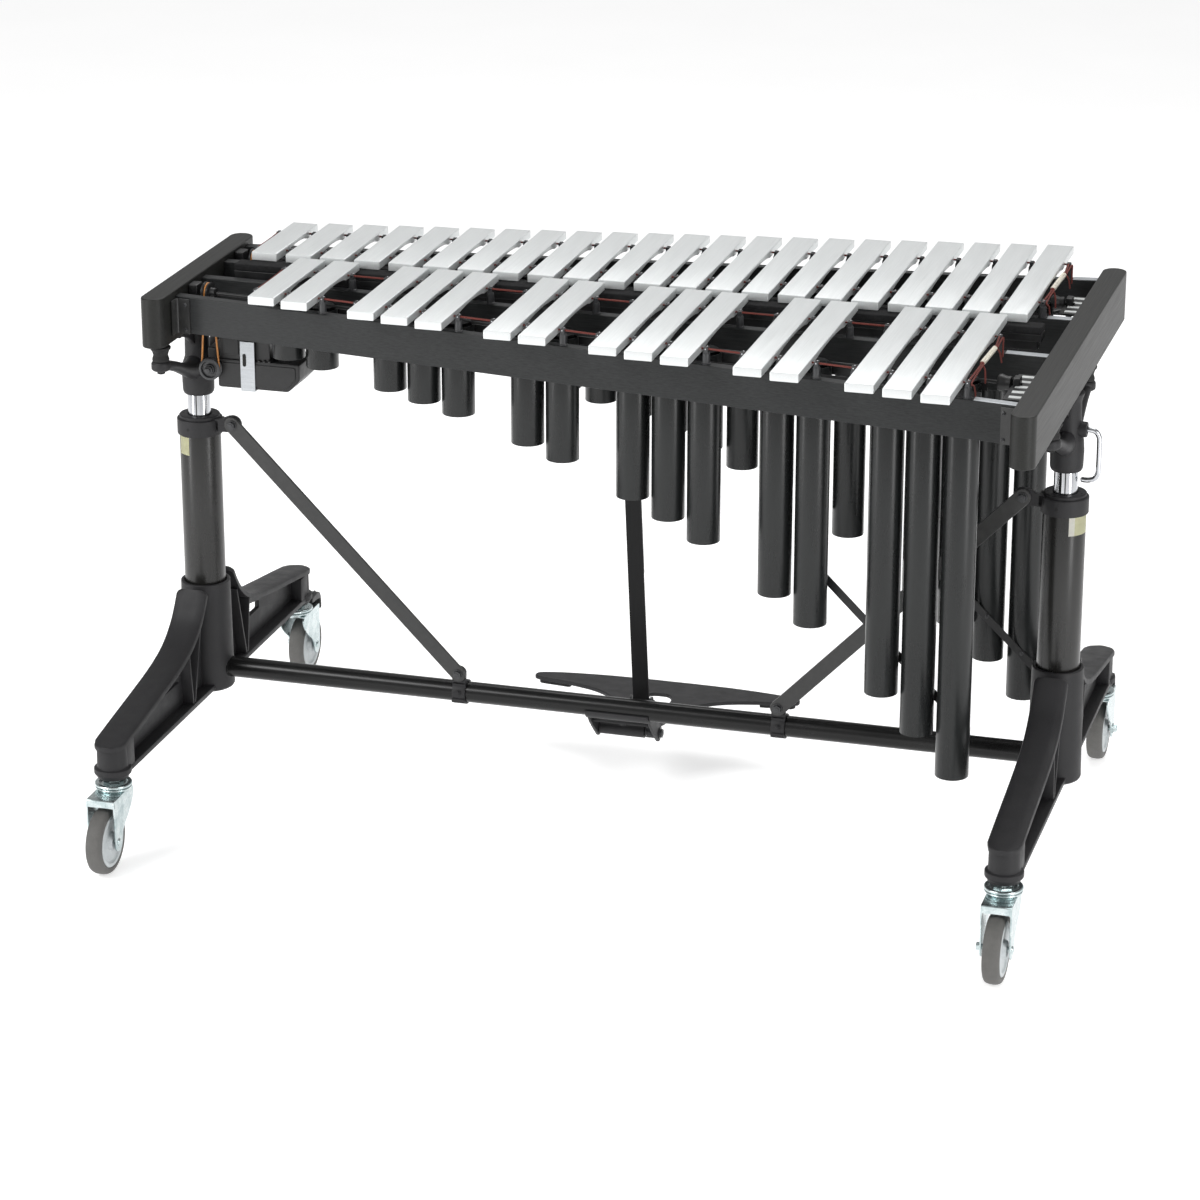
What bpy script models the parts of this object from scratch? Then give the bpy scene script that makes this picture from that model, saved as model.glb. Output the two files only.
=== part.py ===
"""Vibraphone, three octaves F3 to F6, on a height-adjustable column stand.

Metres, +Z up. The origin is on the floor at the middle of the plan. +X runs from
the high notes to the low notes, and the player stands on the +Y side.
"""
from math import atan2, cos, hypot, pi, sin

import bmesh
import bpy
from mathutils import Matrix, Vector

# ---- driving dimensions ----------------------------------------------------
GAP = 0.0003                 # between pieces that touch
COLUMN_X = 0.645             # column axes at -X and +X
CASTER_Y = 0.374             # caster stems at -Y and +Y
WHEEL_R = 0.049
WHEEL_HALF = 0.0125
WHEEL_OUT = 0.038            # wheel axle ahead of the caster's swivel axis
BOSS_Z = 0.133               # underside of the caster boss
LEG_BOTTOM = 0.138
LEG_TOP = 0.186              # cap at the end of a leg
CAP = 0.008                  # thickness of the casting's flanges
CAP_HALF = 0.024             # half width of the cap
HUB_TOP = 0.304
HUB_R = 0.038
COLUMN_R = 0.0305
COLUMN_FOOT = 0.240
COLUMN_TOP = 0.540
COLLAR_R = 0.0335
COLLAR_BOTTOM = 0.534
COLLAR_TOP = 0.563
INNER_R = 0.0168             # chrome telescopic tube
INNER_FOOT = 0.270
INNER_TOP = 0.640
CROSS_Z = 0.166
CROSS_R = 0.0155
EAR_X = 0.588                # bolt of the brace at the collar
EAR_Z = 0.554
CLAMP_X = 0.243              # brace clamp on the cross tube
BOARD_TOP = 0.784
BOARD_BOTTOM = 0.711
BOARD_HALF = 0.0175          # half thickness of an end board
RAIL_TOP = 0.776
RAIL_BOTTOM = 0.722
RAIL_HALF = 0.008
BAR_TOP = 0.803
BAR_BOTTOM = 0.791
BAR_W = 0.0393
PITCH = 0.0528               # from one natural bar to the next
FIRST_X = -0.572             # left edge of the highest bar
NATURALS = 22
NATURAL_LAST = NATURALS - 1
SHARP_STEPS = (0, 1, 3, 4, 5, 7, 8, 10, 11, 12, 14, 15, 17, 18, 19)
SHARP_LAST = SHARP_STEPS[-1]
NODE = 0.224                 # a bar's still line, from its end, as part of its length
CORD_Z = 0.797
CORD_HALF = 0.0014
POST_TOP = 0.7905
POST_HALF = 0.0045
TUBE_R = 0.0236              # resonators
TUBE_WALL = 0.0016
TUBE_TOP = 0.7640
SHAFT_Z = 0.7675
SHAFT_R = 0.0025
DISC_R = 0.0190
DISC_HALF = 0.0008
PEDAL_Y = 0.050              # pedal pivot
PEDAL_Z = 0.112
ROD_Y = 0.120                # pull rod's pin on the pedal
ROD_Z = 0.118
DAMPER_Y = 0.031
DAMPER_TOP = 0.7905
ROD_TOP_Z = 0.738            # pull rod's pin under the damper bar
BRACKET_BOTTOM = 0.595
MOTOR_X = -0.600             # motor shaft, which runs along Y under both fan shafts
MOTOR_Z = 0.653
PULLEY_R = 0.0130            # belt pulleys
LEVER_Z = 0.655              # height lock's handle
FORK_TOP = 0.1165            # top plate of a caster's fork
AXLE_Z = WHEEL_R
ROD_PIN_Z = ROD_Z + 0.012
UPPER_OFFSET = -0.0047       # the upper rod lies behind the lower one
CAP_CURVE = ((-0.400, LEG_TOP), (-0.170, 0.224), (-0.110, 0.244), (-0.074, 0.274),
             (-0.056, HUB_TOP + 0.001))
BOARDS = {"left": (-COLUMN_X, -0.176, 0.206), "right": (COLUMN_X, -0.372, 0.376)}
NATURAL_RUNS = {"high": (0, 8), "mid": (8, 15), "low": (15, NATURALS)}
SHARP_RUNS = {"high": (0, 5), "mid": (5, 10), "low": (10, 15)}
ROD_LEAN = atan2(ROD_Y - DAMPER_Y, ROD_TOP_Z - ROD_PIN_Z)


def lerp(a, b, t):
    return a + (b - a) * t


def clear(radius, sides):
    """Radius of a many-sided bore whose flats clear a round of this radius."""
    return (radius + GAP) / cos(pi / sides)


def bar_left(step):
    """Left edge of a natural bar, counted from the highest."""
    return FIRST_X + step * PITCH


def sharp_left(step):
    """Left edge of the accidental bar that follows a natural one."""
    return FIRST_X + (step + 1.5) * PITCH


def natural_ends(step):
    t = step / NATURAL_LAST
    return lerp(0.043, 0.035, t), lerp(0.218, 0.409, t)


def sharp_ends(step):
    t = step / SHARP_LAST
    return lerp(-0.180, -0.369, t), lerp(0.031, 0.027, t)


def line_through(ends, left, last, share):
    """Y along a straight line at a share of the bars' length, as a function of x."""
    x0 = left(0) + BAR_W / 2
    x1 = left(last) + BAR_W / 2
    y0 = lerp(*ends(0), share)
    y1 = lerp(*ends(last), share)
    slope = (y1 - y0) / (x1 - x0)
    return lambda x: y0 + (x - x0) * slope


natural_inner = line_through(natural_ends, bar_left, NATURAL_LAST, NODE)
natural_outer = line_through(natural_ends, bar_left, NATURAL_LAST, 1 - NODE)
natural_mid = line_through(natural_ends, bar_left, NATURAL_LAST, 0.5)
sharp_outer = line_through(sharp_ends, sharp_left, SHARP_LAST, NODE)
sharp_inner = line_through(sharp_ends, sharp_left, SHARP_LAST, 1 - NODE)
sharp_mid = line_through(sharp_ends, sharp_left, SHARP_LAST, 0.5)


# ---- tools -----------------------------------------------------------------
for old in list(bpy.data.objects):
    bpy.data.objects.remove(old, do_unlink=True)

PARTS = bpy.data.collections.new("vibraphone")
CUTTERS = bpy.data.collections.new("cutters")
for group in (PARTS, CUTTERS):
    bpy.context.scene.collection.children.link(group)

MATERIALS = {}


def material(name, colour, roughness, metallic=0.0):
    mat = bpy.data.materials.new(name)
    mat.use_nodes = True
    shader = mat.node_tree.nodes["Principled BSDF"]
    shader.inputs["Base Color"].default_value = (*colour, 1.0)
    shader.inputs["Roughness"].default_value = roughness
    shader.inputs["Metallic"].default_value = metallic
    MATERIALS[name] = mat


material("bar_aluminium", (0.72, 0.74, 0.75), 0.32, 1.0)
material("black_board", (0.035, 0.036, 0.035), 0.45)
material("cast_black", (0.030, 0.030, 0.032), 0.60)
material("gloss_black", (0.018, 0.018, 0.019), 0.25)
material("satin_black", (0.028, 0.030, 0.030), 0.38)
material("chrome", (0.80, 0.81, 0.82), 0.10, 1.0)
material("zinc_plate", (0.62, 0.70, 0.70), 0.28, 1.0)
material("grey_tyre", (0.13, 0.12, 0.11), 0.70)
material("drive_belt", (0.48, 0.20, 0.05), 0.60)
material("black_plastic", (0.025, 0.025, 0.026), 0.50)
material("damper_felt", (0.05, 0.05, 0.05), 0.95)
material("spring_steel", (0.55, 0.56, 0.57), 0.30, 1.0)


def place(mesh, name, mat=None, origin=(0, 0, 0)):
    """Make an object from a mesh in world coordinates, with its own origin."""
    obj = bpy.data.objects.new(name, mesh)
    origin = Vector(origin)
    mesh.transform(Matrix.Translation(-origin))
    obj.location = origin
    if mat:
        mesh.materials.clear()
        mesh.materials.append(MATERIALS[mat])
        PARTS.objects.link(obj)
    else:
        CUTTERS.objects.link(obj)
        obj.hide_render = True
        obj.display_type = "WIRE"
    return obj


def box_mesh(lo, hi):
    bm = bmesh.new()
    bmesh.ops.create_cube(bm, size=1.0)
    size = [b - a for a, b in zip(lo, hi)]
    centre = [(a + b) / 2 for a, b in zip(lo, hi)]
    bmesh.ops.scale(bm, vec=size, verts=bm.verts)
    bmesh.ops.translate(bm, vec=centre, verts=bm.verts)
    mesh = bpy.data.meshes.new("box")
    bm.to_mesh(mesh)
    bm.free()
    return mesh


def rod_mesh(start, end, radius, sides=16):
    start = Vector(start)
    end = Vector(end)
    along = end - start
    bm = bmesh.new()
    bmesh.ops.create_cone(bm, cap_ends=True, segments=sides, radius1=radius, radius2=radius,
                          depth=along.length)
    turn = along.to_track_quat("Z", "Y").to_matrix().to_4x4()
    bmesh.ops.transform(bm, matrix=Matrix.Translation((start + end) / 2) @ turn, verts=bm.verts)
    mesh = bpy.data.meshes.new("rod")
    bm.to_mesh(mesh)
    bm.free()
    return mesh


def sample(obj):
    """Turn an object with modifiers or curves into a plain mesh in world coordinates."""
    bpy.context.view_layer.update()
    graph = bpy.context.evaluated_depsgraph_get()
    mesh = bpy.data.meshes.new_from_object(obj.evaluated_get(graph))
    mesh.transform(obj.matrix_world)
    bpy.data.objects.remove(obj, do_unlink=True)
    bm = bmesh.new()
    bm.from_mesh(mesh)
    bmesh.ops.remove_doubles(bm, verts=bm.verts, dist=0.00005)
    bm.to_mesh(mesh)
    bm.free()
    return mesh


def turned_mesh(profile, centre=(0, 0, 0), axis=(0, 0, 1), sides=24, closed=True):
    """A turned solid. The profile is (radius, height) points, outer side downwards."""
    mesh = bpy.data.meshes.new("profile")
    points = [(r, 0, z) for r, z in profile]
    edges = [(i, i + 1) for i in range(len(points) - 1)]
    if closed:
        edges.append((len(points) - 1, 0))
    mesh.from_pydata(points, edges, [])
    obj = bpy.data.objects.new("profile", mesh)
    CUTTERS.objects.link(obj)
    screw = obj.modifiers.new("turn", "SCREW")
    screw.steps = screw.render_steps = sides
    screw.use_merge_vertices = True
    screw.merge_threshold = 0.00005
    turn = Vector(axis).to_track_quat("Z", "Y").to_matrix().to_4x4()
    obj.matrix_world = Matrix.Translation(centre) @ turn
    return sample(obj)


def pipe_mesh(outer, inner, low, high, centre=(0, 0, 0), sides=24, axis=(0, 0, 1)):
    profile = ((outer, high), (outer, low), (inner, low), (inner, high))
    return turned_mesh(profile, centre, axis, sides)


def plate_mesh(outlines, thickness, frame):
    """A flat plate from one outline and its holes, centred on the frame's XY plane."""
    curve = bpy.data.curves.new("outline", "CURVE")
    curve.dimensions = "2D"
    curve.fill_mode = "BOTH"
    curve.extrude = thickness / 2
    for points in outlines:
        spline = curve.splines.new("POLY")
        spline.points.add(len(points) - 1)
        for point, (x, y) in zip(spline.points, points):
            point.co = (x, y, 0, 1)
        spline.use_cyclic_u = True
    obj = bpy.data.objects.new("outline", curve)
    CUTTERS.objects.link(obj)
    obj.matrix_world = frame
    return sample(obj)


def frame_yz(x=0.0):
    """Outline x, y become world Y, Z; the plate lies across X."""
    return Matrix(((0, 0, 1, x), (1, 0, 0, 0), (0, 1, 0, 0), (0, 0, 0, 1)))


def frame_xz(y=0.0):
    """Outline x, y become world X, Z; the plate lies across Y."""
    return Matrix(((1, 0, 0, 0), (0, 0, -1, y), (0, 1, 0, 0), (0, 0, 0, 1)))


def frame_xy(z=0.0):
    return Matrix.Translation((0, 0, z))


def arc(cx, cy, radius, start, end, steps):
    """Points on an arc, angles in degrees."""
    angles = [start + (end - start) * i / steps for i in range(steps + 1)]
    return [(cx + radius * cos(a * pi / 180), cy + radius * sin(a * pi / 180)) for a in angles]


def joined(meshes):
    """Several meshes that stay clear of each other, as one mesh."""
    bm = bmesh.new()
    for mesh in meshes:
        bm.from_mesh(mesh)
    out = bpy.data.meshes.new("joined")
    bm.to_mesh(out)
    bm.free()
    return out


def combine(obj, mesh, how="UNION"):
    """Join a mesh to an object, or cut it from the object."""
    tool = place(mesh, obj.name + "_" + how.lower())
    step = obj.modifiers.new(how.lower(), "BOOLEAN")
    step.operation = how
    step.solver = "EXACT"
    step.object = tool


def part(name, mat, first, adds=(), cuts=(), origin=(0, 0, 0), smooth=True):
    obj = place(first, name, mat, origin)
    for mesh in adds:
        combine(obj, mesh)
    for mesh in cuts:
        combine(obj, mesh, "DIFFERENCE")
    if smooth:
        obj.data.shade_smooth()
        obj.data.set_sharp_from_angle(angle=0.6)
    return obj


# ---- base: leg castings, columns, cross tube, braces ------------------------
def beside(curve, distance):
    """The curve moved sideways, towards the hub's foot."""
    points = []
    for i, (y, z) in enumerate(curve):
        y0, z0 = curve[max(i - 1, 0)]
        y1, z1 = curve[min(i + 1, len(curve) - 1)]
        length = hypot(y1 - y0, z1 - z0)
        points.append((y + distance * (z1 - z0) / length, z - distance * (y1 - y0) / length))
    return points


def cap_outline(side):
    """Side view of a leg's top flange: straight from the end, then curving up to the hub."""
    points = list(CAP_CURVE) + beside(CAP_CURVE, CAP)[::-1]
    return [(side * -y, z) for y, z in points]


def web_outline():
    """The web between the flanges of both legs, in one piece through the hub."""
    edge = beside(CAP_CURVE, CAP / 2)
    edge[0] = (-CASTER_Y, edge[0][1] + 0.003)
    edge[-1] = (edge[-1][0], HUB_TOP - 0.010)
    foot = LEG_BOTTOM + CAP / 2
    half = [(-CASTER_Y, foot)] + edge
    return half + [(-y, z) for y, z in half[::-1]]


def slot_outline(side):
    points = [(-0.205, 0.184), (-0.125, 0.184), (-0.125, 0.206), (-0.205, 0.196)]
    return [(side * -y, z) for y, z in points]


def leg_casting(name, x):
    inward = -1 if x > 0 else 1
    hub = turned_mesh(((0, HUB_TOP), (HUB_R - 0.001, HUB_TOP), (HUB_R + 0.001, 0.150),
                       (HUB_R - 0.002, LEG_BOTTOM - 0.003), (0, LEG_BOTTOM - 0.003)),
                      (x, 0, 0), sides=16, closed=False)
    adds = [plate_mesh([web_outline(), slot_outline(-1), slot_outline(1)], 0.008, frame_yz(x)),
            box_mesh((x - 0.0225, -CASTER_Y, LEG_BOTTOM), (x + 0.0225, CASTER_Y, LEG_BOTTOM + CAP))]
    cuts = [rod_mesh((x, 0, COLUMN_FOOT), (x, 0, HUB_TOP + 0.02), clear(COLUMN_R, 16), 16),
            rod_mesh((x + inward * 0.010, 0, CROSS_Z), (x + inward * 0.06, 0, CROSS_Z),
                     clear(CROSS_R, 16), 16)]
    for side in (-1, 1):
        adds.append(plate_mesh([cap_outline(side)], 2 * CAP_HALF, frame_yz(x)))
        y = side * CASTER_Y
        adds.append(turned_mesh(((0, LEG_TOP), (0.0238, LEG_TOP), (0.0238, LEG_BOTTOM + 0.011),
                                 (0.0268, LEG_BOTTOM + 0.010), (0.0268, LEG_BOTTOM + 0.002),
                                 (0.0225, BOSS_Z), (0, BOSS_Z)),
                                (x, y, 0), sides=12, closed=False))
        cuts.append(rod_mesh((x, y, 0.1), (x, y, BOSS_Z + 0.022), 0.0060, 8))
    return part(name, "cast_black", hub, adds, cuts, origin=(x, 0, 0))


def column(name, x):
    mesh = pipe_mesh(COLUMN_R, COLUMN_R - 0.0030, COLUMN_FOOT + GAP, COLUMN_TOP, (x, 0, 0), 16)
    part(name, "gloss_black", mesh, origin=(x, 0, 0))


def collar(name, x):
    """Collar with its guide bore and the ear that carries the brace."""
    inward = -1 if x > 0 else 1
    profile = ((COLLAR_R - 0.004, COLLAR_TOP), (COLLAR_R - 0.004, COLLAR_TOP - 0.004),
               (COLLAR_R, COLLAR_TOP - 0.005), (COLLAR_R, COLLAR_BOTTOM),
               (clear(COLUMN_R, 16), COLLAR_BOTTOM),
               (clear(COLUMN_R, 16), COLUMN_TOP + GAP),
               (clear(INNER_R, 16), COLUMN_TOP + GAP), (clear(INNER_R, 16), COLLAR_TOP))
    mesh = turned_mesh(profile, (x, 0, 0), sides=16)
    a = abs(x) - 0.0318
    ear = [(a, EAR_Z - 0.012), (a, EAR_Z + 0.004)]
    ear += arc(EAR_X, EAR_Z, 0.013, 70, 250, 6)
    ear = [(-inward * px, pz) for px, pz in ear]
    hole = [(-inward * px, pz) for px, pz in arc(EAR_X, EAR_Z, 0.0048, 0, 315, 7)]
    lug = plate_mesh([ear, hole], 0.006, frame_xz(-0.011))
    part(name, "cast_black", mesh, [lug], origin=(x, 0, 0))


def brace(name, x):
    """Flat bar from the collar's ear down to the clamp on the cross tube."""
    side = 1 if x > 0 else -1
    top, low = Vector((EAR_X, EAR_Z)), Vector((CLAMP_X, CROSS_Z + 0.033))
    along = (top - low).normalized()
    angle = atan2(along.y, along.x) * 180 / pi
    ring = arc(top.x, top.y, 0.012, angle - 90, angle + 90, 6)
    ring += arc(low.x, low.y, 0.012, angle + 90, angle + 270, 6)
    holes = [arc(p.x, p.y, 0.0048, 0, 315, 7) for p in (top, low)]
    outlines = [[(side * px, pz) for px, pz in line] for line in [ring] + holes]
    plate = plate_mesh(outlines, 0.004, frame_xz(-0.011 - 0.003 - GAP - 0.002))
    part(name, "cast_black", plate, origin=(side * EAR_X, -0.016, EAR_Z), smooth=False)


def brace_clamp(name, x):
    """Strap round the cross tube with a flat tongue up to the brace's lower bolt."""
    ring = pipe_mesh(CROSS_R + 0.0038, clear(CROSS_R, 12), -0.0095, 0.0095, (x, 0, CROSS_Z), 12,
                     axis=(1, 0, 0))
    z = CROSS_Z + 0.033
    tongue = [(x - 0.0095, CROSS_Z + CROSS_R + 0.0015), (x + 0.0095, CROSS_Z + CROSS_R + 0.0015)]
    tongue += arc(x, z, 0.0105, 20, 160, 5)
    hole = arc(x, z, 0.0048, 0, 315, 7)
    plate = plate_mesh([tongue, hole], 0.006, frame_xz(-0.011))
    foot = box_mesh((x - 0.0095, -0.014, CROSS_Z + CROSS_R + 0.001),
                    (x + 0.0095, 0.002, CROSS_Z + CROSS_R + 0.0036))
    part(name, "cast_black", ring, [plate, foot], origin=(x, 0, CROSS_Z))


# ---- casters ----------------------------------------------------------------
def caster(label, x, side, braked):
    y = side * CASTER_Y
    wheel_y = y + side * WHEEL_OUT
    stem = turned_mesh(((0, BOSS_Z + 0.020), (0.005, BOSS_Z + 0.020), (0.005, BOSS_Z - GAP),
                        (0.0140, BOSS_Z - GAP), (0.0272, BOSS_Z - 0.008),
                        (0.0272, BOSS_Z - 0.0115), (0.0050, BOSS_Z - 0.0115),
                        (0.0050, FORK_TOP - 0.006), (0, FORK_TOP - 0.006)),
                       (x, y, 0), sides=8, closed=False)
    part("caster_stem_" + label, "zinc_plate", stem, origin=(x, y, BOSS_Z))

    race = turned_mesh(((0.0060, FORK_TOP + 0.0045), (0.0262, FORK_TOP + 0.0045),
                        (0.0262, FORK_TOP + 0.0010), (0.0215, FORK_TOP - 0.0030),
                        (0.0060, FORK_TOP - 0.0030)), (x, y, 0), sides=8)
    half = 0.0215
    lug = [(y - side * 0.020, FORK_TOP - 0.001), (y + side * 0.048, FORK_TOP - 0.001),
           (y + side * 0.052, FORK_TOP - 0.010), (y + side * 0.048, AXLE_Z - 0.006),
           (y + side * 0.038, AXLE_Z - 0.012), (y + side * 0.028, AXLE_Z - 0.006),
           (y + side * 0.016, AXLE_Z + 0.022), (y - side * 0.021, FORK_TOP - 0.010)]
    cheeks = [plate_mesh([lug], 0.0025, frame_yz(x + s * (half - 0.00125))) for s in (-1, 1)]
    low, high = sorted((y - side * 0.018, y + side * 0.046))
    bridge = box_mesh((x - half + 0.0009, low, FORK_TOP - 0.0042),
                      (x + half - 0.0009, high, FORK_TOP - 0.0016))
    axle = rod_mesh((x - half - 0.003, wheel_y, AXLE_Z), (x + half + 0.003, wheel_y, AXLE_Z),
                    0.0040, 6)
    hole = rod_mesh((x, y, FORK_TOP - 0.02), (x, y, FORK_TOP + 0.02), 0.0056, 8)
    adds = cheeks + [race, axle]
    part("caster_fork_" + label, "zinc_plate", bridge, adds, [hole], origin=(x, y, FORK_TOP))

    r = WHEEL_R
    w = WHEEL_HALF
    profile = ((0.0120, w + 0.0030), (0.0130, w), (r - 0.006, w), (r, w - 0.006),
               (r, 0.006 - w), (r - 0.006, -w), (0.0130, -w), (0.0120, -w - 0.0030),
               (0.0050, -w - 0.0030), (0.0050, w + 0.0030))
    wheel = turned_mesh(profile, (x, wheel_y, AXLE_Z), (1, 0, 0), 16)
    part("caster_wheel_" + label, "grey_tyre", wheel, origin=(x, wheel_y, AXLE_Z))

    if braked:
        py, pz = y + side * 0.047, FORK_TOP + 0.0085
        pedal = [(py - side * 0.013, pz - 0.0055), (py - side * 0.014, pz + 0.0030),
                 (py + side * 0.010, pz + 0.0060), (py + side * 0.024, pz - 0.004),
                 (py + side * 0.026, pz - 0.024), (py + side * 0.021, pz - 0.025),
                 (py + side * 0.018, pz - 0.0085)]
        plate = plate_mesh([pedal], 0.034, frame_yz(x))
        part("caster_brake_lever_" + label, "black_plastic", plate, origin=(x, py, pz),
             smooth=False)


# ---- pedal and damper linkage ------------------------------------------------
def pedal_bracket():
    """Saddle under the cross tube with two cheeks that carry the pedal's axle."""
    saddle = pipe_mesh(CROSS_R + 0.0038, clear(CROSS_R, 12), -0.050, 0.050, (0, 0, CROSS_Z), 12,
                       axis=(1, 0, 0))
    cheek = [(0.000, CROSS_Z - CROSS_R - 0.0018), (0.012, CROSS_Z - 0.0128),
             (0.030, CROSS_Z - 0.022)]
    cheek += arc(PEDAL_Y, PEDAL_Z, 0.012, 60, -120, 6)
    cheek += [(0.010, CROSS_Z - 0.034)]
    hole = arc(PEDAL_Y, PEDAL_Z, 0.0055, 0, 315, 7)
    sides = [plate_mesh([cheek, hole], 0.004, frame_yz(x)) for x in (-0.046, 0.046)]
    part("pedal_bracket", "cast_black", saddle, sides, origin=(0, 0, CROSS_Z))


def pedal():
    """Whale-tail pedal plate: a neck with a window, widening to a broad fluke."""
    def half_outline(sign):
        return [(sign * x, y) for x, y in
                ((0.0255, PEDAL_Y - 0.001), (0.0265, 0.066), (0.041, 0.080), (0.043, 0.100),
                 (0.050, 0.150), (0.070, 0.195), (0.105, 0.226), (0.150, 0.244),
                 (0.200, 0.252), (0.210, 0.262),
                 (0.207, 0.276), (0.150, 0.290), (0.060, 0.297))]
    ring = half_outline(1) + half_outline(-1)[::-1]
    window = [(0.022, 0.150), (0.026, 0.180), (0.022, 0.215), (0.012, 0.232), (-0.012, 0.232),
              (-0.022, 0.215), (-0.026, 0.180), (-0.022, 0.150)]
    tilt = Matrix.Translation((0, PEDAL_Y, PEDAL_Z)) @ Matrix.Rotation(-0.075, 4, "X")
    plate = plate_mesh([ring, window], 0.006, tilt @ Matrix.Translation((0, -PEDAL_Y, 0)))
    barrel = rod_mesh((-0.0435, PEDAL_Y, PEDAL_Z), (0.0260, PEDAL_Y, PEDAL_Z), 0.0095, 12)
    bore = rod_mesh((-0.06, PEDAL_Y, PEDAL_Z), (0.06, PEDAL_Y, PEDAL_Z), 0.0053, 8)
    part("damper_pedal", "cast_black", plate, [barrel], [bore],
         origin=(0, PEDAL_Y, PEDAL_Z))


def pedal_spring():
    """Outer shape of the torsion spring on the pedal's axle."""
    mesh = pipe_mesh(0.0088, 0.0056, 0.0270, 0.0432, (0, PEDAL_Y, PEDAL_Z), 10, axis=(1, 0, 0))
    part("pedal_return_spring", "spring_steel", mesh, origin=(0, PEDAL_Y, PEDAL_Z))


def pedal_axle():
    shank = rod_mesh((-0.052, PEDAL_Y, PEDAL_Z), (0.052, PEDAL_Y, PEDAL_Z), 0.0050, 8)
    heads = [rod_mesh((s * 0.0484, PEDAL_Y, PEDAL_Z), (s * 0.0530, PEDAL_Y, PEDAL_Z),
                      0.0085, 8) for s in (-1, 1)]
    part("pedal_axle", "zinc_plate", shank, heads, origin=(0, PEDAL_Y, PEDAL_Z))


def rod_frame(y, z, offset):
    """Frame of a leaning flat bar: outline x is world X, outline y runs up the rod."""
    turn = Matrix.Rotation(ROD_LEAN, 4, "X") @ Matrix.Rotation(pi / 2, 4, "X")
    return Matrix.Translation((0, y, z)) @ turn @ Matrix.Translation((0, 0, offset))


def rod_clevis():
    """Fork on the pedal that holds the pull rod's foot."""
    base = box_mesh((-0.017, ROD_Y - 0.009, ROD_Z - 0.0065), (0.017, ROD_Y + 0.009, ROD_Z - 0.0035))
    cheeks = [box_mesh((x - 0.0015, ROD_Y - 0.009, ROD_Z - 0.0060),
                       (x + 0.0015, ROD_Y + 0.009, ROD_Z + 0.022)) for x in (-0.0155, 0.0155)]
    pin = rod_mesh((-0.020, ROD_Y, ROD_PIN_Z), (0.020, ROD_Y, ROD_PIN_Z), 0.0030, 8)
    part("pull_rod_clevis", "zinc_plate", base, cheeks + [pin], origin=(0, ROD_Y, ROD_Z))


def pull_rods():
    """Two flat bars lapped face to face, which telescope as the frame is raised."""
    lower = [(-0.0115, -0.008), (0.0115, -0.008), (0.0115, 0.440), (-0.0115, 0.440)]
    flat = plate_mesh([lower], 0.0040, rod_frame(ROD_Y, ROD_PIN_Z, 0.0))
    eye = rod_mesh((-0.0105, ROD_Y, ROD_PIN_Z), (0.0105, ROD_Y, ROD_PIN_Z), 0.0070, 12)
    cut = rod_mesh((-0.03, ROD_Y, ROD_PIN_Z), (0.03, ROD_Y, ROD_PIN_Z), 0.0034, 8)
    across = Matrix.Translation((0, 0.424, 0)) @ Matrix.Rotation(pi / 2, 4, "X")
    ring = [(-0.0150, -0.0106), (0.0150, -0.0106), (0.0150, 0.0032), (-0.0150, 0.0032)]
    window = [(-0.0121, -0.0086), (0.0121, -0.0086), (0.0121, 0.0012), (-0.0121, 0.0012)]
    guide = plate_mesh([ring, window], 0.026, rod_frame(ROD_Y, ROD_PIN_Z, 0.0) @ across)
    part("lower_pull_rod", "satin_black", flat, [eye, guide], [cut],
         origin=(0, ROD_Y, ROD_PIN_Z), smooth=False)
    upper = [(-0.0115, -0.400), (0.0115, -0.400), (0.0115, 0.008), (-0.0115, 0.008)]
    flat = plate_mesh([upper], 0.0040, rod_frame(DAMPER_Y, ROD_TOP_Z, UPPER_OFFSET))
    eye = rod_mesh((-0.0105, DAMPER_Y, ROD_TOP_Z), (0.0105, DAMPER_Y, ROD_TOP_Z), 0.0070, 12)
    cut = rod_mesh((-0.03, DAMPER_Y, ROD_TOP_Z), (0.03, DAMPER_Y, ROD_TOP_Z), 0.0034, 8)
    part("upper_pull_rod", "satin_black", flat, [eye], [cut],
         origin=(0, DAMPER_Y, ROD_TOP_Z), smooth=False)


def damper():
    """Damper bar with its felt, and the bracket under it that holds the upper rod."""
    x0, x1 = -0.590, 0.600
    rail = box_mesh((x0, DAMPER_Y - 0.013, 0.7690), (x1, DAMPER_Y + 0.013, 0.7800))
    cheeks = [box_mesh((x - 0.0015, DAMPER_Y - 0.010, ROD_TOP_Z - 0.010),
                       (x + 0.0015, DAMPER_Y + 0.010, 0.7695)) for x in (-0.0155, 0.0155)]
    pin = rod_mesh((-0.020, DAMPER_Y, ROD_TOP_Z), (0.020, DAMPER_Y, ROD_TOP_Z), 0.0030, 8)
    part("damper_bar", "satin_black", rail, cheeks + [pin], origin=(0, DAMPER_Y, 0.775))
    felt = box_mesh((x0, DAMPER_Y - 0.014, 0.7800 + GAP), (x1, DAMPER_Y + 0.014, DAMPER_TOP))
    part("damper_felt", "damper_felt", felt, origin=(0, DAMPER_Y, 0.785), smooth=False)


# ---- upper frame ---------------------------------------------------------------
def inner_tube(name, x):
    mesh = pipe_mesh(INNER_R, INNER_R - 0.002, INNER_FOOT, INNER_TOP, (x, 0, 0), 16)
    part(name, "chrome", mesh, origin=(x, 0, INNER_TOP))


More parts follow.
